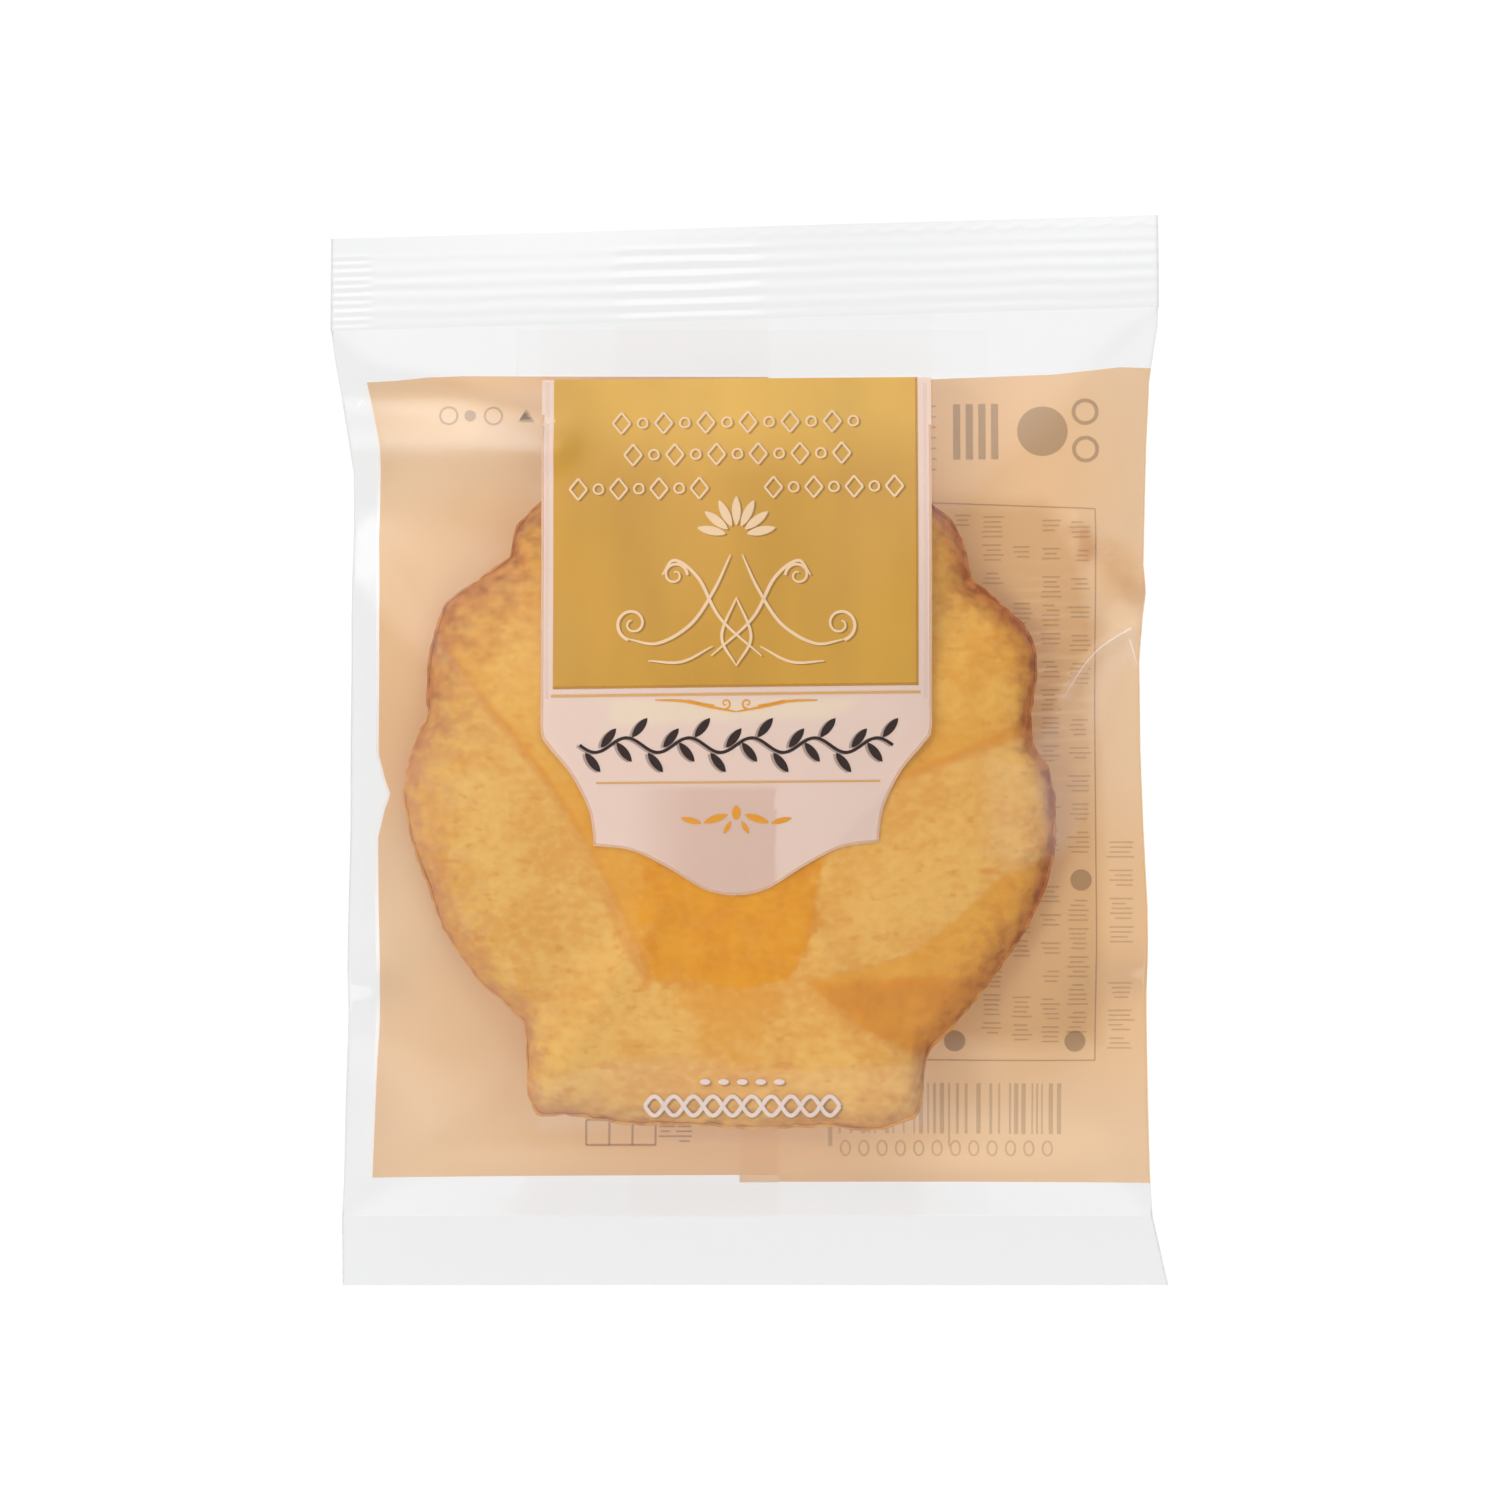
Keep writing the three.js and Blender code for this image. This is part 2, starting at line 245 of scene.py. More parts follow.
def cloud(points, size, seed):
    """Smooth random values from -1 to 1: random corners of a lattice of cubes of this size, blended
    inside each cube by 3t^2 - 2t^3. A corner's value is its whole numbers and the seed, scrambled."""
    cell = np.asarray(points) / size
    low = np.floor(cell).astype(np.int64)
    t = cell - low
    t = t * t * (3 - 2 * t)
    total = np.zeros(cell.shape[:-1])
    for corner in np.ndindex(2, 2, 2):
        at = low + corner
        number = seed * 97531
        for axis, factor in enumerate((73856093, 19349663, 83492791)):
            number = number ^ (at[..., axis] * factor)
        number = ((number ^ (number >> 13)) * 1274126177) & 0xFFFFFFFF
        number = ((number ^ (number >> 15)) * 2246822519) & 0xFFFFFFFF
        share = np.prod(np.where(corner, t, 1 - t), axis=-1)
        total += share * ((number ^ (number >> 16)) / 2**31 - 1)
    return total


# ---- The film: its drape ----------------------------------------------------------------------
# One tube of clear film, sealed flat at both ends and creased at its two sides, closes round the
# cake. It is simulated as a net of points that keep their distances, resist bending, stay outside
# the cake and above the table, and settle from a coarse net to a fine one.
TOP_SEAL_DEPTH = 9.6
BOTTOM_SEAL_DEPTH = 7.2
TOP_SLANT = np.tan(np.radians(1.66))  # the top seal was cut out of square
SEAL_HEIGHT = 7.0
TUBE_TOP = (BAG_LOW[0], BAG_HIGH[0] - 1.1)  # the two folds where the top seal starts
TUBE_BOTTOM = (BAG_LOW[0] + 1.2, BAG_HIGH[0] - 1.75)
TOP_LINE = BAG_HIGH[1] - TOP_SEAL_DEPTH - TOP_SLANT * TUBE_TOP[1]
BOTTOM_LINE = BAG_LOW[1] + BOTTOM_SEAL_DEPTH
TUBE_LENGTH = 95.5  # from seal to seal along the film, when flat
LEFT_NICK, RIGHT_NICK = -4.6, 15.8  # y of the dent in each fold
FILM_GAP = 0.16  # between the film and the cake where they touch
TABLE_GAP = 0.25
SHEET_GAP = 0.4  # between the front and the back, wide enough for the inks on both
STIFFNESS = 0.014
CREASE = 0.25  # the span left between a fold's neighbours, as a share of their spacing
MEMORY = 0.94  # the share of its speed that a point keeps
COARSE = 24  # cells across the flat tube at the first level
LEVELS = (500, 400, 400)  # steps at each level; each has twice the cells of the one before
TABLE_STEP = 0.25  # spacing of the height tables that the film is kept out of
WALL_SLOPE = 6  # how steeply the cake's wall falls in them, past its rim

table_x = np.arange(-46, 46, TABLE_STEP)
table_y = np.arange(-52, 50, TABLE_STEP)
grid_x, grid_y = np.meshgrid(table_x, table_y)
reach = np.hypot(grid_x - CAKE_CENTRE[0], grid_y - CAKE_CENTRE[1])
rim = rim_radius(np.arctan2(grid_x - CAKE_CENTRE[0], grid_y - CAKE_CENTRE[1]))
share = np.clip(reach / rim, 0, 1)
beyond = np.clip(reach - rim, 0, None) * WALL_SLOPE
TOP_TABLE = cake_top(share) - beyond
UNDER_TABLE = cake_under(share, grid_x, grid_y) + beyond


def read_table(table, x, y):
    """Height from a table at any places, blended between its four nearest points."""
    column = np.clip((x - table_x[0]) / TABLE_STEP, 0, len(table_x) - 1.001)
    row = np.clip((y - table_y[0]) / TABLE_STEP, 0, len(table_y) - 1.001)
    i, j = column.astype(int), row.astype(int)
    s, t = column - i, row - j
    near = table[j, i] * (1 - s) + table[j, i + 1] * s
    far = table[j + 1, i] * (1 - s) + table[j + 1, i + 1] * s
    return near * (1 - t) + far * t


def joined(front, back):
    """The tube as one ring of columns: the front from left to right, then the back to the left."""
    return np.concatenate([front, back[:, ::-1][:, 1:-1]], 1)


def flat_sheet(n):
    """Where n by n cells lie on the cut film, with straight sides from one seal to the other."""
    t = np.linspace(0, 1, n + 1)
    low = TUBE_BOTTOM[0] + (TUBE_BOTTOM[1] - TUBE_BOTTOM[0]) * t
    high = TUBE_TOP[0] + (TUBE_TOP[1] - TUBE_TOP[0]) * t
    x = low * (1 - t[:, None]) + high * t[:, None]
    y = BOTTOM_LINE + t[:, None] * (TUBE_LENGTH + TOP_SLANT * high)
    return np.stack([x, y], -1), low, high


def first_guess(n):
    """The tube before it settles: both sheets round the cake, with one dent at each side."""
    flat, low, high = flat_sheet(n)
    t = np.linspace(0, 1, n + 1)[:, None]
    y = BOTTOM_LINE * (1 - t) + (TOP_LINE + TOP_SLANT * high) * t
    bow = np.sin(np.pi * t)
    x = flat[..., 0] * (1 - 0.03 * bow)
    inside = np.clip(np.minimum(3 - np.abs(x) / 14, 8 * np.minimum(t, 1 - t)), 0, 1)
    right_dent = np.exp(-(((y - RIGHT_NICK) / 5) ** 2)) * (x > 0)
    left_dent = np.exp(-(((y - LEFT_NICK) / 5) ** 2)) * (x < 0)
    fold = SEAL_HEIGHT + 1.5 * bow + 1.2 * (right_dent - left_dent)
    over = np.maximum(fold + inside * (RIM_HEIGHT - 8), read_table(TOP_TABLE, x, y) + 0.1)
    under = np.minimum(fold * (1 - inside), read_table(UNDER_TABLE, x, y) - 0.1)
    return joined(*(np.stack([x, y, z], -1) for z in (np.maximum(over, fold), np.minimum(under, fold))))


def pull(a, b, rest, strength=1.0):
    """Moves two rows of points, each by half, towards their rest distance."""
    gap = b - a
    length = np.sqrt((gap * gap).sum(-1)) + 1e-9
    gap *= (0.5 * strength * (length - rest) / length)[..., None]
    a += gap
    b -= gap


def unbend(sheet, strength):
    """How far each point moves against the sheet's fourth differences, along and across it."""
    move = np.zeros_like(sheet)
    for axis in (0, 1):
        s, m = np.moveaxis(sheet, axis, 0), np.moveaxis(move, axis, 0)
        curve = s[2:] - 2 * s[1:-1] + s[:-2]
        m[1:-1] += 2 * strength * curve
        m[2:] -= strength * curve
        m[:-2] -= strength * curve
    return move


def settle(tube, n, steps):
    """Relaxes the tube of n cells a side: each step moves the points on, bends, creases and pulls them
    straight, and then puts them back outside the cake, above the table and on the seals."""
    columns = 2 * n
    flat, low, high = flat_sheet(n)
    rest = joined(flat, flat)
    beside = np.roll(rest, -1, 1)
    across = np.linalg.norm(beside - rest, axis=-1)
    along = np.linalg.norm(rest[1:] - rest[:-1], axis=-1)
    rising = np.linalg.norm(beside[1:] - rest[:-1], axis=-1)
    falling = np.linalg.norm(beside[:-1] - rest[1:], axis=-1)
    front, back = slice(1, n), slice(n + 1, columns)
    facing = (-np.arange(columns)) % columns
    ends = [np.concatenate([edge, edge[::-1][1:-1]]) for edge in (low, high)]
    speed = np.zeros_like(tube)
    for step in range(steps):
        before = tube.copy()
        tube += speed * MEMORY
        move = unbend(tube[:, : n + 1], STIFFNESS)
        tube[:, : n + 1] += move
        move = unbend(np.concatenate([tube[:, n:], tube[:, :1]], 1), STIFFNESS)
        tube[:, n:] += move[:, :-1]
        tube[:, 0] += move[:, -1]
        for left, right in ((columns - 1, 1), (n - 1, n + 1)):
            a, b = tube[:, left].copy(), tube[:, right].copy()
            pull(a, b, CREASE * across.mean(), 0.3)
            tube[:, left], tube[:, right] = a, b
        for shift in (0, 1) if step % 2 else (1, 0):
            turned = np.roll(tube, -shift, 1)
            pull(turned[:, 0::2], turned[:, 1::2], np.roll(across, -shift, 1)[:, 0::2])
            pull(turned[:-1, 0::2], turned[1:, 1::2], np.roll(rising, -shift, 1)[:, 0::2], 0.6)
            pull(turned[1:, 0::2], turned[:-1, 1::2], np.roll(falling, -shift, 1)[:, 0::2], 0.6)
            tube = np.roll(turned, shift, 1)
        for first in (0, 1):
            count = (n + 1 - first) // 2
            lower, upper = tube[first : first + 2 * count : 2], tube[first + 1 :: 2][:count]
            pull(lower[:count], upper, along[first::2][:count])
        x, y, z = tube[..., 0], tube[..., 1], tube[..., 2]
        z[:, front] = np.maximum(z[:, front], read_table(TOP_TABLE, x[:, front], y[:, front]) + FILM_GAP)
        z[:, back] = np.minimum(z[:, back], read_table(UNDER_TABLE, x[:, back], y[:, back]) - FILM_GAP)
        overlap = np.maximum(SHEET_GAP - (z[:, front] - z[:, facing[front]]), 0) / 2
        z[:, front] += overlap
        z[:, facing[front]] -= overlap
        np.maximum(z, TABLE_GAP, out=z)
        x[0], x[-1] = ends
        y[0], y[-1] = BOTTOM_LINE, TOP_LINE + TOP_SLANT * ends[1]
        z[0] = z[-1] = SEAL_HEIGHT
        speed = tube - before
    return tube


def refined(tube):
    """The same tube with twice the cells each way, new points halfway between the old ones."""
    wide = np.stack([tube, (tube + np.roll(tube, -1, 1)) / 2], 2).reshape(tube.shape[0], -1, 3)
    halves = (wide[:-1] + wide[1:]) / 2
    rows = np.stack([wide[:-1], halves], 1).reshape(-1, wide.shape[1], 3)
    return np.concatenate([rows, wide[-1:]], 0)


cells = COARSE
tube = settle(first_guess(cells), cells, LEVELS[0])
for steps in LEVELS[1:]:
    cells *= 2
    tube = settle(refined(tube), cells, steps)
cells *= 2
tube = refined(tube)
for _ in range(2):  # rounds off the corners that halving leaves, except at the folds and seals
    sheets = [tube[:, : cells + 1].copy(), np.concatenate([tube[:, cells:], tube[:, :1]], 1)]
    for sheet in sheets:
        around = sheet[2:, 1:-1] + sheet[:-2, 1:-1] + sheet[1:-1, 2:] + sheet[1:-1, :-2]
        sheet[1:-1, 1:-1] += 0.125 * (around - 4 * sheet[1:-1, 1:-1])
    tube = joined(sheets[0], sheets[1][:, ::-1])

# Air in the bag draws its two folds in a little more than the net shows, and its sheets have a few
# soft pleats.
WAIST = np.array([  # y, and x of the left and right folds as seen from above
    (-48.1, -42.1, 41.55), (-44.0, -41.9, 41.3), (-36.0, -41.75, 41.1), (-28.0, -41.5, 41.0),
    (-16.0, -41.3, 40.9), (-8.0, -41.1, 40.5), (0.0, -41.1, 40.2), (9.0, -41.0, 40.1),
    (13.5, -41.0, 40.4), (16.2, -40.95, 40.65), (19.0, -40.9, 40.4), (28.5, -40.9, 40.7),
    (31.5, -41.35, 40.8), (35.0, -41.95, 41.0), (38.0, -42.45, 41.15), (41.0, -42.95, 41.6),
    (44.0, -43.3, 42.1)])
DRAWN_IN = (-34.0, 32.0)  # only the film outside these is drawn in
PLEATS = [  # how high a pleat lifts the film, its half width, and its line as seen from above
    (0.75, 2.2, [(-42.0, 30.4), (-30.0, 30.4), (-20.0, 31.2)]),
    (-0.6, 1.6, [(-42.0, 36.9), (-30.5, 36.1), (-21.0, 33.6)]),
    (0.12, 1.0, [(-42.0, 27.0), (-33.2, 13.7)]),
    (0.5, 1.2, [(41.5, 15.7), (37.0, 20.0), (33.5, 23.2)]),
    (0.35, 0.8, [(41.0, 12.6), (37.9, 11.8), (36.0, 10.5), (33.2, 7.0), (31.0, 3.4)])]
PLEAT_CLEAR = 3.0  # mm beyond the cake's rim over which a pleat grows to its full height
DRAW_POWER = 1.5

for side, column in ((0, 0), (1, cells)):
    fold = tube[:, column]
    shift = np.interp(fold[:, 1], WAIST[:, 0], WAIST[:, 1 + side]) - fold[:, 0]
    share = np.clip((tube[..., 0] - DRAWN_IN[side]) / (fold[:, :1] - DRAWN_IN[side]), 0, 1)
    tube[..., 0] += shift[:, None] * share**DRAW_POWER


def line_distance(x, y, lines):
    """Distance in mm from the nearest of some open lines."""
    nearest = np.full(x.shape, 1e9)
    for corners in lines:
        for (ax, ay), (bx, by) in zip(corners[:-1], corners[1:]):
            dx, dy = bx - ax, by - ay
            t = np.clip(((x - ax) * dx + (y - ay) * dy) / (dx * dx + dy * dy), 0, 1)
            nearest = np.minimum(nearest, np.hypot(x - ax - t * dx, y - ay - t * dy))
    return nearest


right, ahead = np.moveaxis(tube[..., :2] - CAKE_CENTRE, -1, 0)
past_rim = np.hypot(right, ahead) - rim_radius(np.arctan2(right, ahead))
for height, half_width, path in PLEATS:
    near = np.exp(-((line_distance(tube[..., 0], tube[..., 1], [path]) / half_width) ** 2))
    tube[..., 2] += height * near * np.clip(past_rim / PLEAT_CLEAR, 0, 1)
front_sheet = tube[:, : cells + 1]
back_sheet = np.concatenate([tube[:, cells:], tube[:, :1]], 1)[:, ::-1]


# ---- The film: its material and meshes --------------------------------------------------------
# Clear film is nearly invisible face on and bright where it tilts. Its seals are the same two
# sheets welded by ribbed jaws, which leaves fine ridges along the seal.
def grid_faces(rows, columns, ring=False):
    """Quads of a grid of points numbered row by row; a ring also joins its last column to its first."""
    i = np.arange(rows - 1)[:, None] * columns
    j = np.arange(columns if ring else columns - 1)[None, :]
    k = (j + 1) % columns
    return np.stack([i + j, i + k, i + columns + k, i + columns + j], -1).reshape(-1, 4)


def make_piece(name, points, faces, material, slot, **attributes):
    """A smooth mesh piece from millimetre points and faces, with float attributes on its points. It
    rides on the pack. Its slot argument is not used."""
    mesh = bpy.data.meshes.new(name)
    mesh.from_pydata((np.reshape(points, (-1, 3)) * MM).tolist(), [], np.asarray(faces).tolist())
    mesh.polygons.foreach_set("use_smooth", np.ones(len(mesh.polygons), bool))
    mesh.materials.append(material)
    for label, values in attributes.items():
        layer = mesh.attributes.new(label, "FLOAT", "POINT")
        layer.data.foreach_set("value", np.ascontiguousarray(np.ravel(values), dtype=np.float32))
    piece = bpy.data.objects.new(name, mesh)
    bpy.context.collection.objects.link(piece)
    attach(piece, "root")
    return piece


def film_material(name, haze, roughness, tint, faces=2.0, veils=(), creases=()):
    """Clear film: light goes straight through, but for the share that its two faces reflect by
    Fresnel's law and the share that haze scatters. Where the film clings to the cake only its outer
    face reflects. Each veil is an attribute of distance into a hazier place, its edge's softness and
    how much haze it adds. Each crease is an attribute of minus the distance from a line, its width and
    how much haze it adds."""
    material, nodes, shader = new_material(name, Base_Color=(1, 1, 1, 1), Roughness=roughness)
    back = nodes.add("NewGeometry").outputs["Backfacing"]
    index = nodes.math("MULTIPLY_ADD", back, 1 / FILM_INDEX - FILM_INDEX, FILM_INDEX)
    fresnel = nodes.add("Fresnel", index).outputs[0]
    bare = nodes.math("SUBTRACT", faces, nodes.ramp(nodes.attribute("cling"), 0.0, 0.4))
    gloss = nodes.math("MINIMUM", nodes.math("MULTIPLY", fresnel, bare), MOST_GLOSS)
    total = haze
    for label, softness, amount in veils:
        share = nodes.ramp(nodes.attribute(label), -softness, softness)
        total = nodes.math("MULTIPLY_ADD", share, amount, total)
    for label, width, amount in creases:
        share = nodes.ramp(nodes.attribute(label), -width, 0.0)
        total = nodes.math("MULTIPLY_ADD", share, amount, total)
    both = nodes.math("ADD", gloss, total)
    nodes.feed(shader.inputs["Metallic"], nodes.math("DIVIDE", gloss, both))
    clear = nodes.add("BsdfTransparent", (*tint, 1))
    mix = nodes.add("MixShader", both, clear.outputs[0], shader.outputs[0])
    nodes.feed(material.node_tree.nodes["Material Output"].inputs["Surface"], mix.outputs[0])
    return material


def inside_distance(x, y, corners):
    """Signed distance in mm from a closed outline, positive inside: the least distance to any of its
    sides, with the sign from how often a ray along +X crosses them."""
    nearest = np.full(x.shape, 1e9)
    inside = np.zeros(x.shape, bool)
    for (ax, ay), (bx, by) in zip(corners, np.roll(corners, -1, 0)):
        dx, dy = bx - ax, by - ay
        t = np.clip(((x - ax) * dx + (y - ay) * dy) / (dx * dx + dy * dy), 0, 1)
        nearest = np.minimum(nearest, np.hypot(x - ax - t * dx, y - ay - t * dy))
        crosses = (ay > y) != (by > y)
        inside ^= crosses & (x < ax + (y - ay) * dx / (dy if dy else 1e-9))
    return np.where(inside, nearest, -nearest)


FILM_TINT = (0.953, 0.954, 0.955)
FILM_INDEX = 1.5
MOST_GLOSS = 0.2  # at grazing angles a tight fold would otherwise mirror itself black
LEFT_CREASE = [  # mm; from the left shoulder down to the foot, where the film lifts off the cake
    (-31.9, 11.2), (-30.2, 8.7), (-27.0, 4.5), (-24.5, 1.6), (-21.3, -2.6), (-19.1, -5.8), (-16.7, -9.8),
    (-14.8, -13.4), (-12.7, -17.6), (-11.0, -21.1), (-10.4, -23.6)]
CLING_OUTLINE = LEFT_CREASE + [  # the film lies on the cake's crown inside this
    (-6.4, -23.7), (-1.0, -24.6), (3.6, -23.6), (5.7, -21.0), (6.4, -18.2), (6.9, -14.3), (7.5, -11.5),
    (11.4, -6.9), (15.4, -3.1), (20.7, -0.9), (29.4, 2.2), (29.2, 10.2), (25.9, 15.3), (21.7, 19.5),
    (19.0, 23.6), (19.0, 46.0), (-21.7, 46.0), (-21.7, 23.6), (-27.8, 18.4), (-32.4, 13.3)]
WEDGE_OUTLINE = [  # and inside this, low on the right
    (31.1, -10.7), (26.0, -12.7), (22.4, -16.2), (16.7, -20.8), (5.7, -23.7), (10.1, -27.5),
    (13.6, -29.7), (18.2, -31.4), (21.7, -29.1), (26.9, -23.9), (30.5, -17.7)]
FOOT_OUTLINE = [  # the film is hazier over the cake's foot
    (-22.3, -34.4), (-17.8, -32.8), (-12.1, -31.7), (-6.6, -31.3), (-1.0, -32.5), (6.4, -32.8),
    (12.3, -32.4), (18.0, -32.0), (18.6, -38.3), (13.5, -40.4), (-5.1, -40.9), (-21.6, -38.9)]
GLOW_OUTLINE = [  # and over its right side
    (24.3, -1.2), (28.9, -0.7), (31.2, -4.3), (31.2, -10.0), (26.9, -12.5), (24.3, -10.5)]
FAN_OUTLINE = [  # the pleats that spread from the nick in the right fold
    (39.8, 12.5), (36.0, 10.5), (33.2, 7.0), (31.0, 3.4), (29.1, 0.4), (29.5, -5.3), (31.0, -11.0),
    (33.6, -8.4), (35.1, -3.3), (35.7, 2.9), (37.2, 7.1), (39.3, 9.6)]
BRIGHT_CREASES = [  # sharp creases drawn with painted highlights: at the nick, and at the left shoulder
    [(39.2, 12.5), (37.9, 11.8), (36.0, 10.5), (34.5, 8.9), (33.2, 7.0), (32.2, 5.3)],
    [(39.1, 11.4), (39.9, 8.6)], [(-40.4, 35.5), (-40.2, 35.9), (-39.7, 36.1)]]
SHEEN_OUTLINE = [  # painted highlight: more haze where the film tilts to the light, at the upper left
    (-39.1, 36.1), (-34.9, 35.8), (-30.0, 35.4), (-21.5, 32.7), (-21.5, 31.1), (-30.0, 30.6),
    (-37.8, 30.5), (-38.5, 32.7)]

# The sheen veil and the crease haze are painted highlights.
clear_film = film_material("clear_film", 0.012, 0.15, FILM_TINT, veils=[
    ("foot", 0.9, 0.045), ("glow", 1.6, 0.04), ("fan", 0.9, 0.055), ("sheen", 1.0, 0.09)],
    creases=[("crease", 0.9, 0.06)])
seal_film = film_material("sealed_film", 0.03, 0.16, FILM_TINT)

film = make_piece("film", tube, grid_faces(cells + 1, 2 * cells, ring=True), clear_film, "clear_film")
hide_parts("bag")
is_front = np.arange(2 * cells) <= cells


def film_field(name, values):
    """Stores a value for each point of the film's front sheet, and -9 for the back sheet's points."""
    layer = film.data.attributes.new(name, "FLOAT", "POINT")
    layer.data.foreach_set("value", np.where(is_front, values, -9).astype(np.float32).ravel())


for name, outlines in (("cling", (CLING_OUTLINE, WEDGE_OUTLINE)), ("foot", (FOOT_OUTLINE,)),
                       ("glow", (GLOW_OUTLINE,)), ("fan", (FAN_OUTLINE,)), ("sheen", (SHEEN_OUTLINE,))):
    distances = [inside_distance(tube[..., 0], tube[..., 1], outline) for outline in outlines]
    film_field(name, np.max(distances, 0))
film_field("crease", -line_distance(tube[..., 0], tube[..., 1], BRIGHT_CREASES))

SEAL_DROOP = 1.4  # how far a seal's cut edge hangs below its inner line
SEAL_ROW = 0.18  # spacing of the points across a seal, fine enough for its ridges
PLY_GAP = 0.05
SCALLOP_PITCH = 3.1
SCALLOP_HEIGHT = 0.04
RIDGE_PITCH = 1.45
RIDGE_HEIGHT = 0.018
SEAM_RIDGE_HEIGHT = 0.08
FINE_PITCH = 0.83
FINE_RIDGE_HEIGHT = 0.075
SEAL_SPREAD = 1.7  # how much further out the bottom right corner was cut
SEAM_PLIES = -6.3  # x of the middle of the place where the back seam's plies are in the seal too


def seal_points(low, high, line, outward, depth, strength):
    """Both plies of a seal as a closed ring of columns: flat from the tube's end, drooping outwards in
    proportion, with the ridge height of each place added, times the strength."""
    across = np.linspace(0, 1, cells + 1)
    out = np.linspace(0, 1, round(depth / SEAL_ROW) + 1)[:, None]
    x = low + (high - low) * across + 0 * out
    y = line(x) + outward * out * depth
    sag = 0.25 * np.sin(x / 9.0 + outward) * out**2
    z = SEAL_HEIGHT - SEAL_DROOP * out**1.2 + sag + seal_ridges(x, out * depth + 0 * x, strength)
    lift = PLY_GAP / 2 * np.sin(np.pi * across) ** 0.2
    plies = [np.stack([x, y, z + side * lift], -1) for side in (1, -1)]
    return joined(*plies), len(out)


def seal_ridges(x, depth, strength):
    """Ridge heights: sine ridges along the seal, strong over the back seam's extra plies, finer and
    strong again at the left end, faint between. Next to the top cut edge are faint scallops instead."""
    over_seam = np.clip(4 - np.abs(x - SEAM_PLIES) / 2, 0, 1)
    left_end = np.clip(-(x + 39.0) / 0.9, 0, 1)
    fade = np.clip(depth / 0.8, 0, 1) * np.clip((8.0 - depth) / 0.8, 0, 1)
    scallop = TOP_SEAL_DEPTH - 0.5 - 0.5 * np.abs(np.sin(np.pi * x / SCALLOP_PITCH))
    pressed = SCALLOP_HEIGHT * np.exp(-(((depth - scallop) / 0.2) ** 2)) * np.clip(0.4 + x / 40, 0, 1)
    wander = 0.14 * cloud(np.stack([x / 3, depth, 0 * x], -1), 2.0, 5)
    uneven = RIDGE_HEIGHT + 0.014 * cloud(np.stack([x / 6, 2 * depth, 0 * x], -1), 2.0, 6)
    broad = np.sin(2 * np.pi * (depth + wander) / RIDGE_PITCH) * (uneven + SEAM_RIDGE_HEIGHT * over_seam)
    fine = np.sin(2 * np.pi * depth / FINE_PITCH) * FINE_RIDGE_HEIGHT * left_end
    return strength * fade * (broad + fine) + pressed


ring, rows = seal_points(*TUBE_TOP, lambda x: TOP_LINE + TOP_SLANT * x, 1, TOP_SEAL_DEPTH, 1.0)
make_piece("top_seal", ring, grid_faces(rows, 2 * cells, ring=True), seal_film, "clear_film")
ring, rows = seal_points(*TUBE_BOTTOM, lambda x: BOTTOM_LINE + 0 * x, -1, BOTTOM_SEAL_DEPTH, 0.5)
near_corner = np.clip(ring[..., 0] / TUBE_BOTTOM[1], 0, 1) ** 8
ring[..., 0] += SEAL_SPREAD * np.linspace(0, 1, rows)[:, None] * near_corner
make_piece("bottom_seal", ring, grid_faces(rows, 2 * cells, ring=True)[:, ::-1], seal_film, "clear_film")


# ---- The cake: its mesh and crumb -------------------------------------------------------------
# The visible face is pale and yellow, browned in a narrow band at the rim and in broad patches on
# the upper lobes. Butter has soaked the crown where the film presses on it. The ribbed side took
# its colour from the hot tin and is browner all over.
CAKE_COLUMNS = 480
TOP_ROWS = 80
EDGE_ROWS = 8
UNDER_ROWS = 40
RIM_RAGGED = 0.2  # mm that the crumb makes the rim uneven
BROWN_REACH = 1.0  # mm over which the browning fades in from the rim
PATCHES = [  # places where the browning reaches further in: degrees from the tip, spread, extra mm
    (-48, 16, 3.6), (-80, 24, 2.6), (-112, 16, 1.8), (-143, 9, 2.2), (-166, 12, 1.6), (46, 16, 2.3),
    (72, 10, 0.9), (105, 16, 1.3), (128, 16, 2.4), (155, 12, 1.5), (174, 14, 1.9)]
BROWNNESS = [  # how brown the rim is, by degrees from the tip
    (-180, 0.55), (-150, 0.7), (-135, 0.72), (-95, 0.72), (-65, 0.95), (-45, 0.95), (20, 0.9), (50, 1.0),
    (90, 0.95), (120, 0.85), (140, 0.74), (152, 0.62), (180, 0.55)]
BAKED_TINT = (0.89, 0.9, 0.96)  # painted shade: the left lobes are made duller, against the stronger light from the left
DEEP_OUTLINE = [  # the most buttery place, just above the foot
    (-11.6, -6.0), (-11.3, -12.0), (-11.1, -16.0), (-10.8, -20.3), (-10.4, -23.4), (-6.4, -23.5),
    (-1.0, -24.6), (3.6, -23.4), (5.7, -20.8), (6.4, -18.2), (6.9, -14.3), (7.5, -11.5), (1.1, -5.3),
    (-9.2, -4.3)]
TONGUE_OUTLINE = [  # and where it fades out towards the foot
    (-8.0, -23.0), (-6.6, -26.2), (-5.2, -28.2), (-3.4, -30.0), (-0.6, -30.4), (1.0, -28.4),
    (2.8, -25.6), (4.4, -22.6)]
DARK_OUTLINE = [  # scorched and buttery, low on the right
    (6.8, -24.2), (12.4, -23.4), (24.3, -23.7), (21.7, -28.0), (18.2, -31.4), (13.6, -29.7),
    (10.1, -27.5)]
DARK_CREASES = [  # butter gathers along the film's creases
    LEFT_CREASE, [(15.4, -3.1), (20.7, -0.9), (29.4, 2.2)], [(16.8, -2.3), (21.7, -0.4), (28.9, 2.9)],
    [(5.7, -24.6), (10.1, -27.5), (13.6, -29.7), (18.2, -31.4)],
    [(5.7, -23.7), (12.4, -24.4), (19.7, -23.4)],
    [(-16.3, -10.1), (-14.9, -14.1), (-13.4, -18.2), (-11.8, -21.3), (-10.4, -23.4)]]

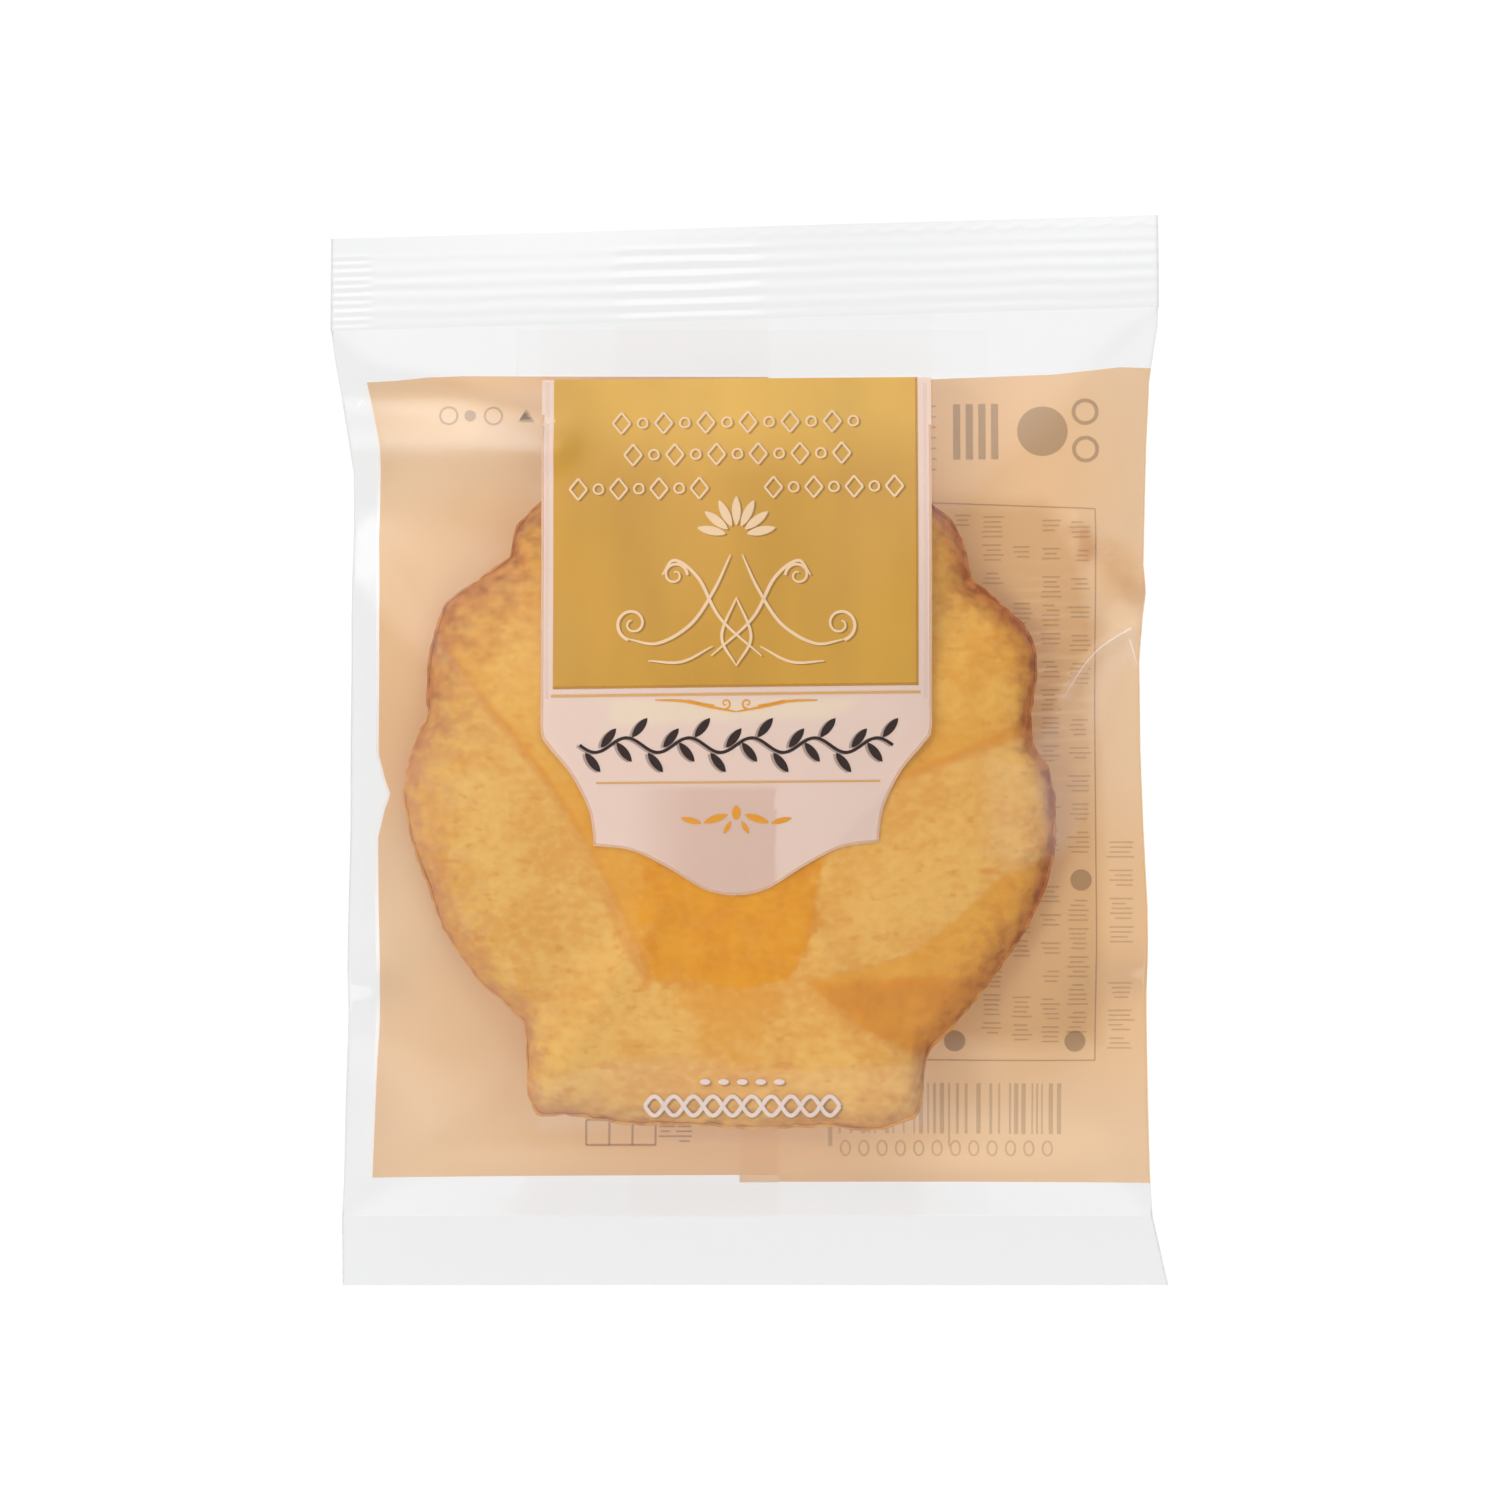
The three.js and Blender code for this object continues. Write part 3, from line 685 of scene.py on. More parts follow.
CRUMB_DARK = ink(225, 164, 68)
CRUMB_LIGHT = ink(233, 181, 88)
CRUMB_FLECK = ink(240, 197, 112)
CRUMB_STREAK = ink(218, 147, 50)
CRUMB_SPOT = ink(208, 128, 40)
CREASED = ink(216, 136, 34)
BUTTERY = ink(220, 150, 36)
BUTTERIEST = ink(222, 149, 8)
BUTTERIEST_DARK = ink(213, 136, 10)
SCORCHED = ink(198, 114, 26)
SCORCHED_LIGHT = ink(214, 136, 36)
CRUST_DARK = ink(164, 90, 36)
CRUST_LIGHT = ink(203, 128, 60)
CRUST_ROSY = ink(206, 140, 104)


def cake_surface():
    """The closed cake as rows of one angle grid: the top face outwards, round the rim, and the ribbed
    side inwards. Rows lie at equal steps of radius, closer near the rim; returns the points, the
    distance from the rim (negative past it) and the angle."""
    angle = np.linspace(-np.pi, np.pi, CAKE_COLUMNS, endpoint=False)[None, :]
    edge = rim_radius(angle)

    def spread(share):
        """Where a share of the rim's radius lies at each angle."""
        reach = edge * share
        return CAKE_CENTRE[0] + reach * np.sin(angle), CAKE_CENTRE[1] + reach * np.cos(angle)

    q = np.sin(np.linspace(0, 1, TOP_ROWS)[:, None] * np.pi / 2) ** 0.8
    x, y = spread(q)
    top = np.stack([x, y, cake_top(q) + 0 * x], -1)
    roll = np.linspace(0, 1, EDGE_ROWS + 2)[1:-1, None]
    x, y = spread(1 + 0.008 * np.sin(roll * np.pi))
    high, low = cake_top(1.0), RIM_HEIGHT - RIM_DEPTH
    side = np.stack([x, y, high + (low - high) * roll + 0 * x], -1)
    q_under = q[::-1][:: TOP_ROWS // UNDER_ROWS]
    x, y = spread(q_under)
    below = np.stack([x, y, cake_under(q_under, x, y)], -1)
    distance = np.concatenate([edge * (1 - q), -edge * 0.03 * roll, -1 - edge * (1 - q_under)])
    return np.concatenate([top, side, below]), distance, angle + 0 * distance


def crust_material():
    """Crumb colour from object-space noise; browning from the toast attribute, with its border broken
    up by noise; buttery places from the distance attributes, darkest along the film's creases."""
    material, nodes, shader = new_material(
        "butter_cake", Roughness=0.6, Specular_IOR_Level=0.12, Subsurface_Weight=0.15,
        Subsurface_Radius=(1.0, 0.5, 0.2), Subsurface_Scale=2 * MM)

    def over(base, mask, share, color):
        """The base colour, with up to this share of another where the mask is 1."""
        return nodes.blend(nodes.math("MULTIPLY", mask, share), base, color)

    broad = nodes.ramp(nodes.noise(6.0, 3), 0.35, 0.65)
    fine = nodes.noise(0.8, 6, (0.7, 1.0, 1.0))
    crumb = nodes.blend(broad, CRUMB_DARK, CRUMB_LIGHT)
    crumb = over(crumb, nodes.ramp(fine, 0.45, 0.7), 0.3, CRUMB_FLECK)
    crumb = over(crumb, nodes.ramp(fine, 0.5, 0.3), 0.28, CRUMB_STREAK)
    streak = nodes.ramp(nodes.noise(2.6, 4, (0.6, 1.0, 1.0)), 0.5, 0.72)
    crumb = over(crumb, streak, 0.22, CRUMB_STREAK)
    spots = nodes.ramp(nodes.noise(1.1, 3, (0.6, 1.0, 1.0)), 0.6, 0.7)
    crumb = over(crumb, spots, 0.35, CRUMB_SPOT)
    rough = nodes.math("MULTIPLY_ADD", nodes.noise(1.6, 4), 1.0, -0.5)
    low_down = nodes.ramp(nodes.attribute("low_down"), -0.2, 1.0)
    mottle = nodes.ramp(nodes.noise(3.2, 6, (1.2, 0.85, 1.0)), 0.34, 0.66)
    butterier = nodes.blend(mottle, BUTTERIEST_DARK, BUTTERIEST)
    scorched = nodes.blend(mottle, SCORCHED, SCORCHED_LIGHT)
    unevenly = nodes.math("MULTIPLY_ADD", nodes.ramp(fine, 0.6, 0.4), 0.25, 0.7)
    for label, ragged, softness, share, color in (
            ("cling", 0.8, 0.3, nodes.math("MULTIPLY_ADD", low_down, 0.35, 0.25), BUTTERY),
            ("tongue", 8.0, 1.8, 0.5, BUTTERIEST), ("deep", 6.0, 0.9, unevenly, butterier),
            ("dark", 2.5, 0.7, 0.55, scorched)):
        edge = nodes.math("MULTIPLY_ADD", rough, ragged, nodes.attribute(label))
        crumb = over(crumb, nodes.ramp(edge, -softness, softness), share, color)
    line = nodes.ramp(nodes.attribute("crease"), -0.9, 0.0)
    line = nodes.math("MULTIPLY", line, nodes.ramp(nodes.noise(6.0, 2), 0.25, 0.6))
    crumb = over(crumb, line, 0.6, CREASED)
    blotches = nodes.ramp(nodes.noise(1.3, 6, (0.7, 1.0, 1.0)), 0.35, 0.65)
    toast = nodes.ramp(nodes.math("MULTIPLY_ADD", blotches, 0.28, nodes.attribute("toast")), 0.18, 1.25)
    crust = nodes.blend(nodes.ramp(nodes.noise(1.6, 5), 0.35, 0.65), CRUST_DARK, CRUST_LIGHT)
    crust = over(crust, nodes.attribute("rosy"), 0.7, CRUST_ROSY)
    bread = nodes.blend(toast, crumb, crust)
    # Painted shade: duller colours on the left of the cake
    dull = nodes.add("VectorMath", bread, BAKED_TINT, operation="MULTIPLY").outputs[0]
    nodes.feed(shader.inputs["Base Color"], nodes.blend(nodes.attribute("baked"), bread, dull))
    grain = nodes.add("Bump")
    nodes.feed(grain.inputs["Strength"], 0.35)
    nodes.feed(grain.inputs["Distance"], 0.12 * MM)
    nodes.feed(grain.inputs["Height"], nodes.noise(0.5, 4))
    nodes.feed(shader.inputs["Normal"], grain.outputs[0])
    return material


# The crumb makes the smooth face a little uneven and the rim ragged. Browning fades in from the rim,
# is strongest on the edge at the upper right, partly as painted shade, and covers the ribbed side.
points, rim_distance, angle = cake_surface()
crumb = 0.05 * cloud(points, 0.9, 3) + 0.07 * cloud(points, 2.6, 4)
points[..., 2] += np.where(rim_distance > 0, crumb - 0.1, -crumb)
ragged = RIM_RAGGED * (cloud(points, 0.8, 8) + cloud(points, 2.4, 9))
ragged = ragged * np.exp(-((rim_distance / 1.5) ** 2))
points[..., :2] += ragged[..., None] * np.stack([np.sin(angle), np.cos(angle)], -1)
degrees = np.degrees(angle)
toast_reach = BROWN_REACH + sum(
    extra * np.exp(-(((degrees - middle) / spread) ** 2)) for middle, spread, extra in PATCHES)
toast = np.where(rim_distance > 0, np.exp(-np.clip(rim_distance, 0, None) / toast_reach), 0.95)
# Part browning, part painted shade: a dark line on the edge at the upper right.
toast += 0.4 * np.exp(-((rim_distance / 0.7) ** 2)) * np.clip(np.cos(angle - 1.0) * 1.8 - 0.5, 0, 1)
toast *= np.interp(degrees, *np.transpose(BROWNNESS))
toast = np.where(rim_distance < -2, 0.55 + 0.3 * np.clip(1 + (rim_distance + 2) / 8, 0, 1), toast)


def on_top(values, elsewhere=-9):
    """Values on the smooth face, and one far below them on the rim and the ribbed side."""
    return np.where(rim_distance > 0, values, elsewhere)


x, y = points[..., 0], points[..., 1]
make_piece(
    "cake", points, grid_faces(len(points), CAKE_COLUMNS, ring=True)[:, ::-1], crust_material(), "cake",
    toast=toast,
    cling=on_top(np.maximum(inside_distance(x, y, CLING_OUTLINE), inside_distance(x, y, WEDGE_OUTLINE))),
    deep=on_top(inside_distance(x, y, DEEP_OUTLINE)),
    tongue=on_top(inside_distance(x, y, TONGUE_OUTLINE)),
    dark=on_top(inside_distance(x, y, DARK_OUTLINE)),
    crease=on_top(-line_distance(x, y, DARK_CREASES)),
    low_down=(6 - y) / 12,
    # painted shade on the left of the cake
    baked=np.clip((-4 - x) / 17, 0, 1),
    rosy=np.clip((-12 - x) / 10, 0, 1) * np.clip((8 - y) / 10, 0, 1))


# ---- Printing: laying flat shapes on the film -------------------------------------------------
# The film is printed before it wraps the cake, so every printed shape follows its sheet a few
# hundredths of a millimetre inside or outside it.
INK_GAP = 0.04


def on_sheet(sheet, u, v, gap):
    """Points on a sheet of film at cell coordinates u across and v along, blended between the four
    nearest points of its net, and moved by gap along the sheet's upward normal."""
    across, along = np.gradient(sheet, axis=1), np.gradient(sheet, axis=0)
    normal = np.cross(across, along)
    normal /= np.linalg.norm(normal, axis=-1, keepdims=True)
    u, v = np.clip(u, 0, cells - 1e-6), np.clip(v, 0, cells - 1e-6)
    i, j = u.astype(int), v.astype(int)
    s, t = (u - i)[..., None], (v - j)[..., None]

    def between(net):
        near = net[j, i] * (1 - s) + net[j, i + 1] * s
        far = net[j + 1, i] * (1 - s) + net[j + 1, i + 1] * s
        return near * (1 - t) + far * t

    return between(sheet) + gap * between(normal)


def locate(sheet, x, y):
    """Cell coordinates of the places seen at x, y from above: a first guess from the flat tube's size,
    improved step by step by the distance still missing."""
    width = (TUBE_TOP[1] - TUBE_TOP[0]) / cells
    length = TUBE_LENGTH / cells
    u = (np.asarray(x, float) - TUBE_BOTTOM[0]) / width
    v = (np.asarray(y, float) - BOTTOM_LINE) / length
    for _ in range(30):
        found = on_sheet(sheet, u, v, 0)
        u = np.clip(u + 0.8 * (x - found[..., 0]) / width, 0, cells)
        v = np.clip(v + 0.8 * (y - found[..., 1]) / length, 0, cells)
    return u, v


def lay(sheet, xy, gap):
    """Flat places (x, y in mm, as seen from above) laid on a sheet of film."""
    xy = np.asarray(xy, float)
    return on_sheet(sheet, *locate(sheet, xy[..., 0], xy[..., 1]), gap)


def curve_through(points, count):
    """A smooth open curve through points: a Catmull-Rom spline, evenly spaced in its parameter."""
    p = np.asarray(points, float)
    p = np.concatenate([2 * p[:1] - p[1:2], p, 2 * p[-1:] - p[-2:-1]])
    s = np.linspace(0, len(p) - 3 - 1e-9, count)
    k = s.astype(int)
    t = (s - k)[:, None]
    a, b, c, d = p[k], p[k + 1], p[k + 2], p[k + 3]
    return 0.5 * (2 * b + (c - a) * t + (2 * a - 5 * b + 4 * c - d) * t**2 + (3 * b - a - 3 * c + d) * t**3)


def ribbon(path, width, columns=2):
    """A flat band along a path, as rows by columns of places: each of the path's points, moved by up
    to half the width to both sides."""
    path = np.asarray(path, float)
    ahead = np.gradient(path, axis=0)
    side = np.stack([ahead[:, 1], -ahead[:, 0]], -1)
    side /= np.linalg.norm(side, axis=-1, keepdims=True) + 1e-9
    widths = np.broadcast_to(np.asarray(width, float), len(path))[:, None]
    across = widths * np.linspace(-0.5, 0.5, columns)
    return path[:, None] + side[:, None] * across[..., None]


def line(start, end, width, steps=8):
    """A straight band."""
    t = np.linspace(0, 1, steps + 1)[:, None]
    return ribbon(np.array(start) * (1 - t) + np.array(end) * t, width)


def blob(centre, length, width, turn=0.0, power=0.5, steps=14):
    """A leaf, disc or lozenge: a band along a short straight path whose width is that of an ellipse
    raised to a power (0.5 gives an ellipse, 1 a leaf)."""
    s = np.sin(np.linspace(-np.pi / 2, np.pi / 2, steps + 1))
    path = np.array(centre) + s[:, None] * length / 2 * np.array([np.cos(turn), np.sin(turn)])
    return ribbon(path, width * (1 - s**2 + 1e-6) ** power, 2 if width < 1.5 else 9)


def loop(centre, radius, width, steps=28):
    """A ring drawn as a closed band."""
    turn = np.linspace(0, 2 * np.pi, steps + 1)
    round_it = np.stack([np.cos(turn), np.sin(turn)], -1)
    return ribbon(np.array(centre) + round_it * np.asarray(radius), width)


def print_bands(name, bands, sheet, gap, material, slot, **attributes):
    """One piece from many bands, each a grid of places in rows, all laid on one sheet, with float
    attributes on its points."""
    points, faces, count = [], [], 0
    for band in bands:
        rows, columns = band.shape[:2]
        points.append(band.reshape(-1, 2))
        faces.append(grid_faces(rows, columns) + count)
        count += rows * columns
    flat = np.concatenate(points)
    faces = np.concatenate(faces)
    a, b, c = (flat[faces[:, i]] for i in range(3))
    turned = (b - a)[:, 0] * (c - b)[:, 1] - (b - a)[:, 1] * (c - b)[:, 0] < 0
    faces[turned] = faces[turned][:, ::-1]
    return make_piece(name, lay(sheet, flat, gap), faces, material, slot, **attributes)


def ruled(left, right, steps):
    """A filled shape between a left and a right outline with the same number of points."""
    t = np.linspace(0, 1, steps + 1)[None, :, None]
    return np.asarray(left)[:, None] * (1 - t) + np.asarray(right)[:, None] * t


def ink_grain():
    """A node group that clouds a printed colour a little: noise on the object's own coordinates, drawn
    out along the pack as on film from a roll, scales it between two brightnesses."""
    group = bpy.data.node_groups.new("ink_grain", "ShaderNodeTree")
    group.interface.new_socket("Color", in_out="INPUT", socket_type="NodeSocketColor")
    for label, value in (("Size", 4.0), ("Amount", 0.05)):
        socket = group.interface.new_socket(label, in_out="INPUT", socket_type="NodeSocketFloat")
        socket.default_value = value
    group.interface.new_socket("Color", in_out="OUTPUT", socket_type="NodeSocketColor")
    nodes = Nodes(group)
    color, size, amount = group.nodes.new("NodeGroupInput").outputs[:3]
    place = nodes.add("TexCoord").outputs["Object"]
    drawn_out = nodes.add("VectorMath", place, (1, 0.35, 1), operation="MULTIPLY").outputs[0]
    texture = nodes.add("TexNoise", drawn_out, None, nodes.math("DIVIDE", 1 / MM, size), 4.0)
    scale = nodes.math("MULTIPLY_ADD", nodes.math("SUBTRACT", texture.outputs["Fac"], 0.5), amount, 1.0)
    tinted = nodes.add("VectorMath", color, operation="SCALE")
    nodes.feed(tinted.inputs["Scale"], scale)
    nodes.feed(group.nodes.new("NodeGroupOutput").inputs["Color"], tinted.outputs[0])
    return group


INK_GRAIN = ink_grain()


def ink_material(
        name, color, cover, roughness=0.4, metallic=0.0, size=4.0, amount=0.10, through=0.0, lit=None,
        stains=()):
    """Printing ink: a clouded colour that hides what is under it by its cover. It has no gloss of its
    own, since it is bonded to the film. Thin ink lets a share of the light from behind through, which
    the lit shares tint. Each of the stains and painted shades and highlights is an attribute from 0
    to 1 and the colour that it turns the ink to."""
    material, nodes, shader = new_material(
        name, Roughness=roughness, Metallic=metallic, Specular_IOR_Level=0.0)
    grain = nodes.add("Group", node_tree=INK_GRAIN)
    for label, value in (("Size", size), ("Amount", amount)):
        nodes.feed(grain.inputs[label], value)
    for label, stain in stains:
        color = nodes.blend(nodes.attribute(label), color, stain)
    nodes.feed(grain.inputs["Color"], color)
    nodes.feed(shader.inputs["Base Color"], grain.outputs["Color"])
    if through:
        glow = nodes.add("VectorMath", grain.outputs["Color"], lit, operation="MULTIPLY")
        lit_side = nodes.add("BsdfTranslucent", glow.outputs[0])
        layer = nodes.add("MixShader", through, shader.outputs[0], lit_side.outputs[0])
        clear = nodes.add("MixShader", cover, nodes.add("BsdfTransparent").outputs[0], layer.outputs[0])
        nodes.feed(material.node_tree.nodes["Material Output"].inputs["Surface"], clear.outputs[0])
    else:
        nodes.feed(shader.inputs["Alpha"], cover)
    return material


# ---- The back print ---------------------------------------------------------------------------
# Pale beige ink covers the back of the bag from below one seal to above the other. The sheet's two
# edges meet in a fin near the middle, so the print comes as a left and a right field that don't
# quite line up, and the right one runs on into the fin.
BEIGE = ink(238, 209, 176)
# Painted shadow: a darker beige for the print beside the cake
SOAKED = ink(221, 178, 122)
# Painted shade and bounced light: a deeper beige
WARM = ink(240, 202, 155)
# Painted light: a paler beige
PALE = ink(255, 226, 190)
# Painted shade of a dent and its fold
DUSKY = ink(208, 152, 92)
BEIGE_LIT = (0.925, 0.69, 0.38)  # light that comes through it from behind is deeper by these shares
BEIGE_THROUGH = 0.45  # how much of its look is that light
BEIGE_COVER = 0.94
FIN_COVER = 0.22
PRINT_TOP = [(0, 38.0), (0.08, 38.2), (0.16, 38.55), (0.25, 38.7), (1, 38.65)]  # share of width, and y
PRINT_BOTTOM = [(0, -44.2), (1, -44.0)]
RIGHT_TOP = [(0, 38.4), (0.42, 38.4), (0.73, 38.8), (0.91, 39.5), (1, 39.35)]
RIGHT_BOTTOM = [(0, -44.7), (1, -44.7)]
LEFT_MARGIN = 3.1  # clear film between the left fold and the print
EDGE_SHIFT = [  # y, and how far in from that margin the left field's edge lies, in at the fold's nick
    (-9.0, 0.0), (-6.2, 0.8), (-4.6, 1.5), (-3.0, 0.9), (-0.5, 0.2), (22.0, 0.2), (27.0, 0.55),
    (31.0, 0.9), (34.0, 0.6), (38.0, 0.1)]
SOAKED_OUTLINE = [  # painted shadow: the print is darker beside the cake, which shades it
    (15.0, 26.5), (30.0, 25.0), (34.5, 20.0), (36.0, 12.0), (35.2, 3.0), (35.8, -10.0), (35.8, -29.8),
    (15.0, -29.8)]
RIPPLE_MIDDLE, RIPPLE_REACH = (29.5, 7.0), (6.5, 14.0)  # and painted shade in ripples where the film is creased
RIPPLE_PITCH = 1.4
WARM_PATCHES = [  # painted shade and painted light bounced from the cake, where the beige is deeper: x, y, half width, half height and share
    (-38.0, 8.0, 8.0, 15.0, 1.0), (-26.0, 20.5, 9.0, 7.0, 0.9), (-24.5, 38.4, 8.0, 1.3, 1.0),
    (26.0, 28.0, 12.0, 14.0, 1.0), (38.0, 18.0, 3.0, 3.5, 0.8), (36.0, -20.0, 12.0, 15.0, 1.0),
    (24.0, -32.0, 8.0, 5.0, 0.6), (-27.0, -29.0, 9.0, 10.0, 0.6), (0.0, -40.3, 24.0, 1.8, 0.9)]
PALE_PATCHES = [  # and painted light, where the beige is paler as if more light came through it
    (-33.5, 34.0, 8.0, 2.8, 1.0), (-2.0, -42.4, 26.0, 2.0, 0.7), (26.0, -40.5, 14.0, 3.0, 0.45),
    (38.4, 13.9, 1.6, 1.7, 0.7)]
DUSKY_PATCHES = [  # painted shade of a dent and of the fold that runs from it to the right edge
    (34.6, 21.0, 1.0, 1.8, 0.75), (33.6, 22.6, 1.3, 0.8, 0.4), (36.4, 20.2, 1.7, 1.6, 0.28),
    (38.0, 18.2, 1.6, 1.6, 0.32), (39.5, 16.3, 1.5, 1.6, 0.32)]
SEAM_TOP = 1.9  # x of the seam at both ends
SEAM_BOTTOM = 3.0
LONG_STEPS = 150  # rows of cells in a piece that runs the pack's whole length
FIELD_STEPS = 90  # columns of cells in each field of the print
FIELD_ENDS = (0.04, 0.93)  # where about the fields end, as shares of the tube's length

beige_ink = ink_material(
    "beige_ink", BEIGE, BEIGE_COVER, 0.45, size=9.0, amount=0.08, through=BEIGE_THROUGH, lit=BEIGE_LIT,
    stains=[("warm", WARM), ("pale", PALE), ("soaked", SOAKED), ("dusky", DUSKY)])
fin_ink = ink_material("fin_ink", BEIGE, FIN_COVER, 0.45, through=BEIGE_THROUGH, lit=BEIGE_LIT)
fin_end_ink = ink_material(
    "fin_end_ink", ink(255, 232, 200), 0.8, 0.45, through=BEIGE_THROUGH, lit=BEIGE_LIT)


def patches(points, places):
    """The sum of oval patches, each its share of exp(-r^4) at r half widths from its middle, up to 1."""
    total = np.zeros(points.shape[:-1])
    for x, y, half_width, half_height, share in places:
        r2 = ((points[..., 0] - x) / half_width) ** 2 + ((points[..., 1] - y) / half_height) ** 2
        total += share * np.exp(-(r2**2))
    return np.clip(total, 0, 1)


def back_field(name, left_u, right_u, bottom, top, edge_shift=((0, 0),)):
    """A field on the back sheet between two cell columns each given at the bottom and the top, with
    its lower and upper edges as tables of the share of its width and y as seen from above, and its
    left edge shifted in by a table of y and mm."""
    s = np.linspace(0, 1, FIELD_STEPS + 1)
    edges = []
    for end, height in ((0, bottom), (1, top)):
        u = left_u[end] + (right_u[end] - left_u[end]) * s
        flat_x = on_sheet(back_sheet, u, np.full_like(u, cells * FIELD_ENDS[end]), 0)[:, 0]
        y = np.interp(s, *np.transpose(height))
        edges.append((u, locate(back_sheet, flat_x, y)[1]))
    t = np.linspace(0, 1, LONG_STEPS + 1)[:, None]
    u = edges[0][0] * (1 - t) + edges[1][0] * t
    v = edges[0][1] * (1 - t) + edges[1][1] * t
    height = on_sheet(back_sheet, u, v, 0)[..., 1]
    u = u + np.interp(height, *np.transpose(edge_shift)) / cell_width * (1 - s) ** 8
    points = on_sheet(back_sheet, u, v, INK_GAP)
    # Painted shadow beside the cake, with painted shade in ripples where the film is creased
    soaked = inside_distance(points[..., 0], points[..., 1], SOAKED_OUTLINE)
    soaked = np.clip(0.5 + soaked / 2.4 + 0.25 * cloud(points, 5.0, 12), 0, 1)
    beside = np.prod(np.clip(1 - np.abs(points[..., :2] - RIPPLE_MIDDLE) / RIPPLE_REACH, 0, 1), -1)
    ripples = np.sin(2 * np.pi * points[..., 1] / RIPPLE_PITCH + 2 * cloud(points / (3, 1, 1), 2.0, 13))
    soaked = np.clip(soaked + 0.9 * beside * ripples, 0, 1.6)
    return make_piece(
        name, points, grid_faces(LONG_STEPS + 1, FIELD_STEPS + 1), beige_ink, "printed_film",
        soaked=soaked, warm=patches(points, WARM_PATCHES), pale=patches(points, PALE_PATCHES),
        dusky=patches(points, DUSKY_PATCHES))


def back_cell(x, y):
    """Cell coordinates of one place on the back sheet."""
    return [float(at[0]) for at in locate(back_sheet, np.array([x]), np.array([y]))]


cell_width = (TUBE_TOP[1] - TUBE_TOP[0]) / cells
margin_u = LEFT_MARGIN / cell_width
seam_u = [back_cell(SEAM_BOTTOM, PRINT_BOTTOM[-1][1])[0], back_cell(SEAM_TOP, PRINT_TOP[-1][1])[0]]
back_field("back_print_left", (margin_u, margin_u), seam_u, PRINT_BOTTOM, PRINT_TOP, EDGE_SHIFT)
back_field("back_print_right", seam_u, (cells, cells), RIGHT_BOTTOM, RIGHT_TOP)

# A hair of white underprint shows along the left field's outer edge.
FRINGE_WIDTH = 0.35
FRINGE_X = -38.5

fringe_ink = ink_material("fringe_ink", ink(250, 246, 244), 0.8)
t = np.linspace(0, 1, LONG_STEPS + 1)[:, None]
fringe_v = [back_cell(FRINGE_X, edge[0][1])[1] for edge in (PRINT_BOTTOM, PRINT_TOP)]
v = fringe_v[0] * (1 - t) + fringe_v[1] * t
height = on_sheet(back_sheet, margin_u + 0 * v, v, 0)[..., 1]
inset = np.interp(height, *np.transpose(EDGE_SHIFT)) - np.array([[FRINGE_WIDTH, 0]])
u = margin_u + inset / cell_width
make_piece("back_print_fringe", on_sheet(back_sheet, u, v + 0 * u, INK_GAP),
           grid_faces(LONG_STEPS + 1, 2), fringe_ink, "printed_film")

# Two faint clear patches of varnish lie above and below the print.
VARNISH_SIDES = (-24.2, 24.6)
VARNISH = [  # y of the lower and the upper edge, and the share that the varnish covers
    ("varnish_top", 38.9, 43.4, 0.025), ("varnish_bottom", -48.0, -44.9, 0.012)]

for name, low, high, cover in VARNISH:
    varnish = ink_material(name + "_film", ink(160, 156, 152), cover, roughness=0.3)
    height = low + (high - low) * np.linspace(0, 1, 25)
    band = ruled(*(np.stack([x + 0 * height, height], 1) for x in VARNISH_SIDES), 60)
    print_bands(name, [band], back_sheet, INK_GAP, varnish, "clear_film")


# ---- The label --------------------------------------------------------------------------------
# White ink under the front sheet makes a shield with a pointed foot, and a gold panel is printed
# over its upper part. Thin gold rules, a scroll and small ornaments in white, brown and orange
# stand in the places of the wording.
LABEL_TOP = (38.1, 38.4)  # at the left and right ends
LABEL_MIDDLE = -1.4  # shapes on the label are given from this upright line
GOLD_LEFT, GOLD_RIGHT = -20.15, 17.2
GOLD_BOTTOM = (6.22, 6.65)  # at the left and right ends
SHIELD_SIDE = [  # down the shield's right side: mm right of the middle, and y
    (20.0, 38.4), (20.0, 20.0), (20.0, 6.0), (19.95, 1.9), (19.1, 0.4), (16.9, -2.3), (15.15, -5.7),
    (14.65, -8.1), (14.55, -9.55)]
SHIELD_FOOT = [(14.55, -9.55), (10.7, -10.1), (7.0, -11.9), (3.6, -14.0), (1.4, -14.7), (0.0, -14.8)]
SHIELD_TILT = 0.014
CREAM_OUTLINE = [  # a paler yellowish band crosses the shield under the rules
    (-13.9, 5.2), (11.2, 5.2), (10.6, 4.6), (8.4, 3.4), (-14.0, 2.5), (-14.4, 3.8)]

white_ink = ink_material(
    "white_ink", ink(230, 204, 190), 0.88, size=7.0, amount=0.06,
    stains=[("damp", ink(218, 186, 170)), ("cream", ink(234, 212, 188))])
gold_ink = ink_material(
    "gold_ink", ink(198, 148, 52), 1.0, roughness=0.38, metallic=0.1, size=7.0, amount=0.34,
    # a painted highlight: brighter gold where light would fall
    stains=[("bright", ink(220, 174, 78))])

side = curve_through(SHIELD_SIDE, 150)
foot = curve_through(SHIELD_FOOT, 40)[1:]
right_side = np.concatenate([side, foot])
left_side = right_side * (-1, 1)
for outline in (left_side, right_side):
    outline[:, 1] += SHIELD_TILT * outline[:, 0] * np.clip((8 - outline[:, 1]) / 10, 0, 1)
left_side[0, 1], right_side[0, 1] = LABEL_TOP
shield = ruled(left_side + (LABEL_MIDDLE, 0), right_side + (LABEL_MIDDLE, 0), 90)
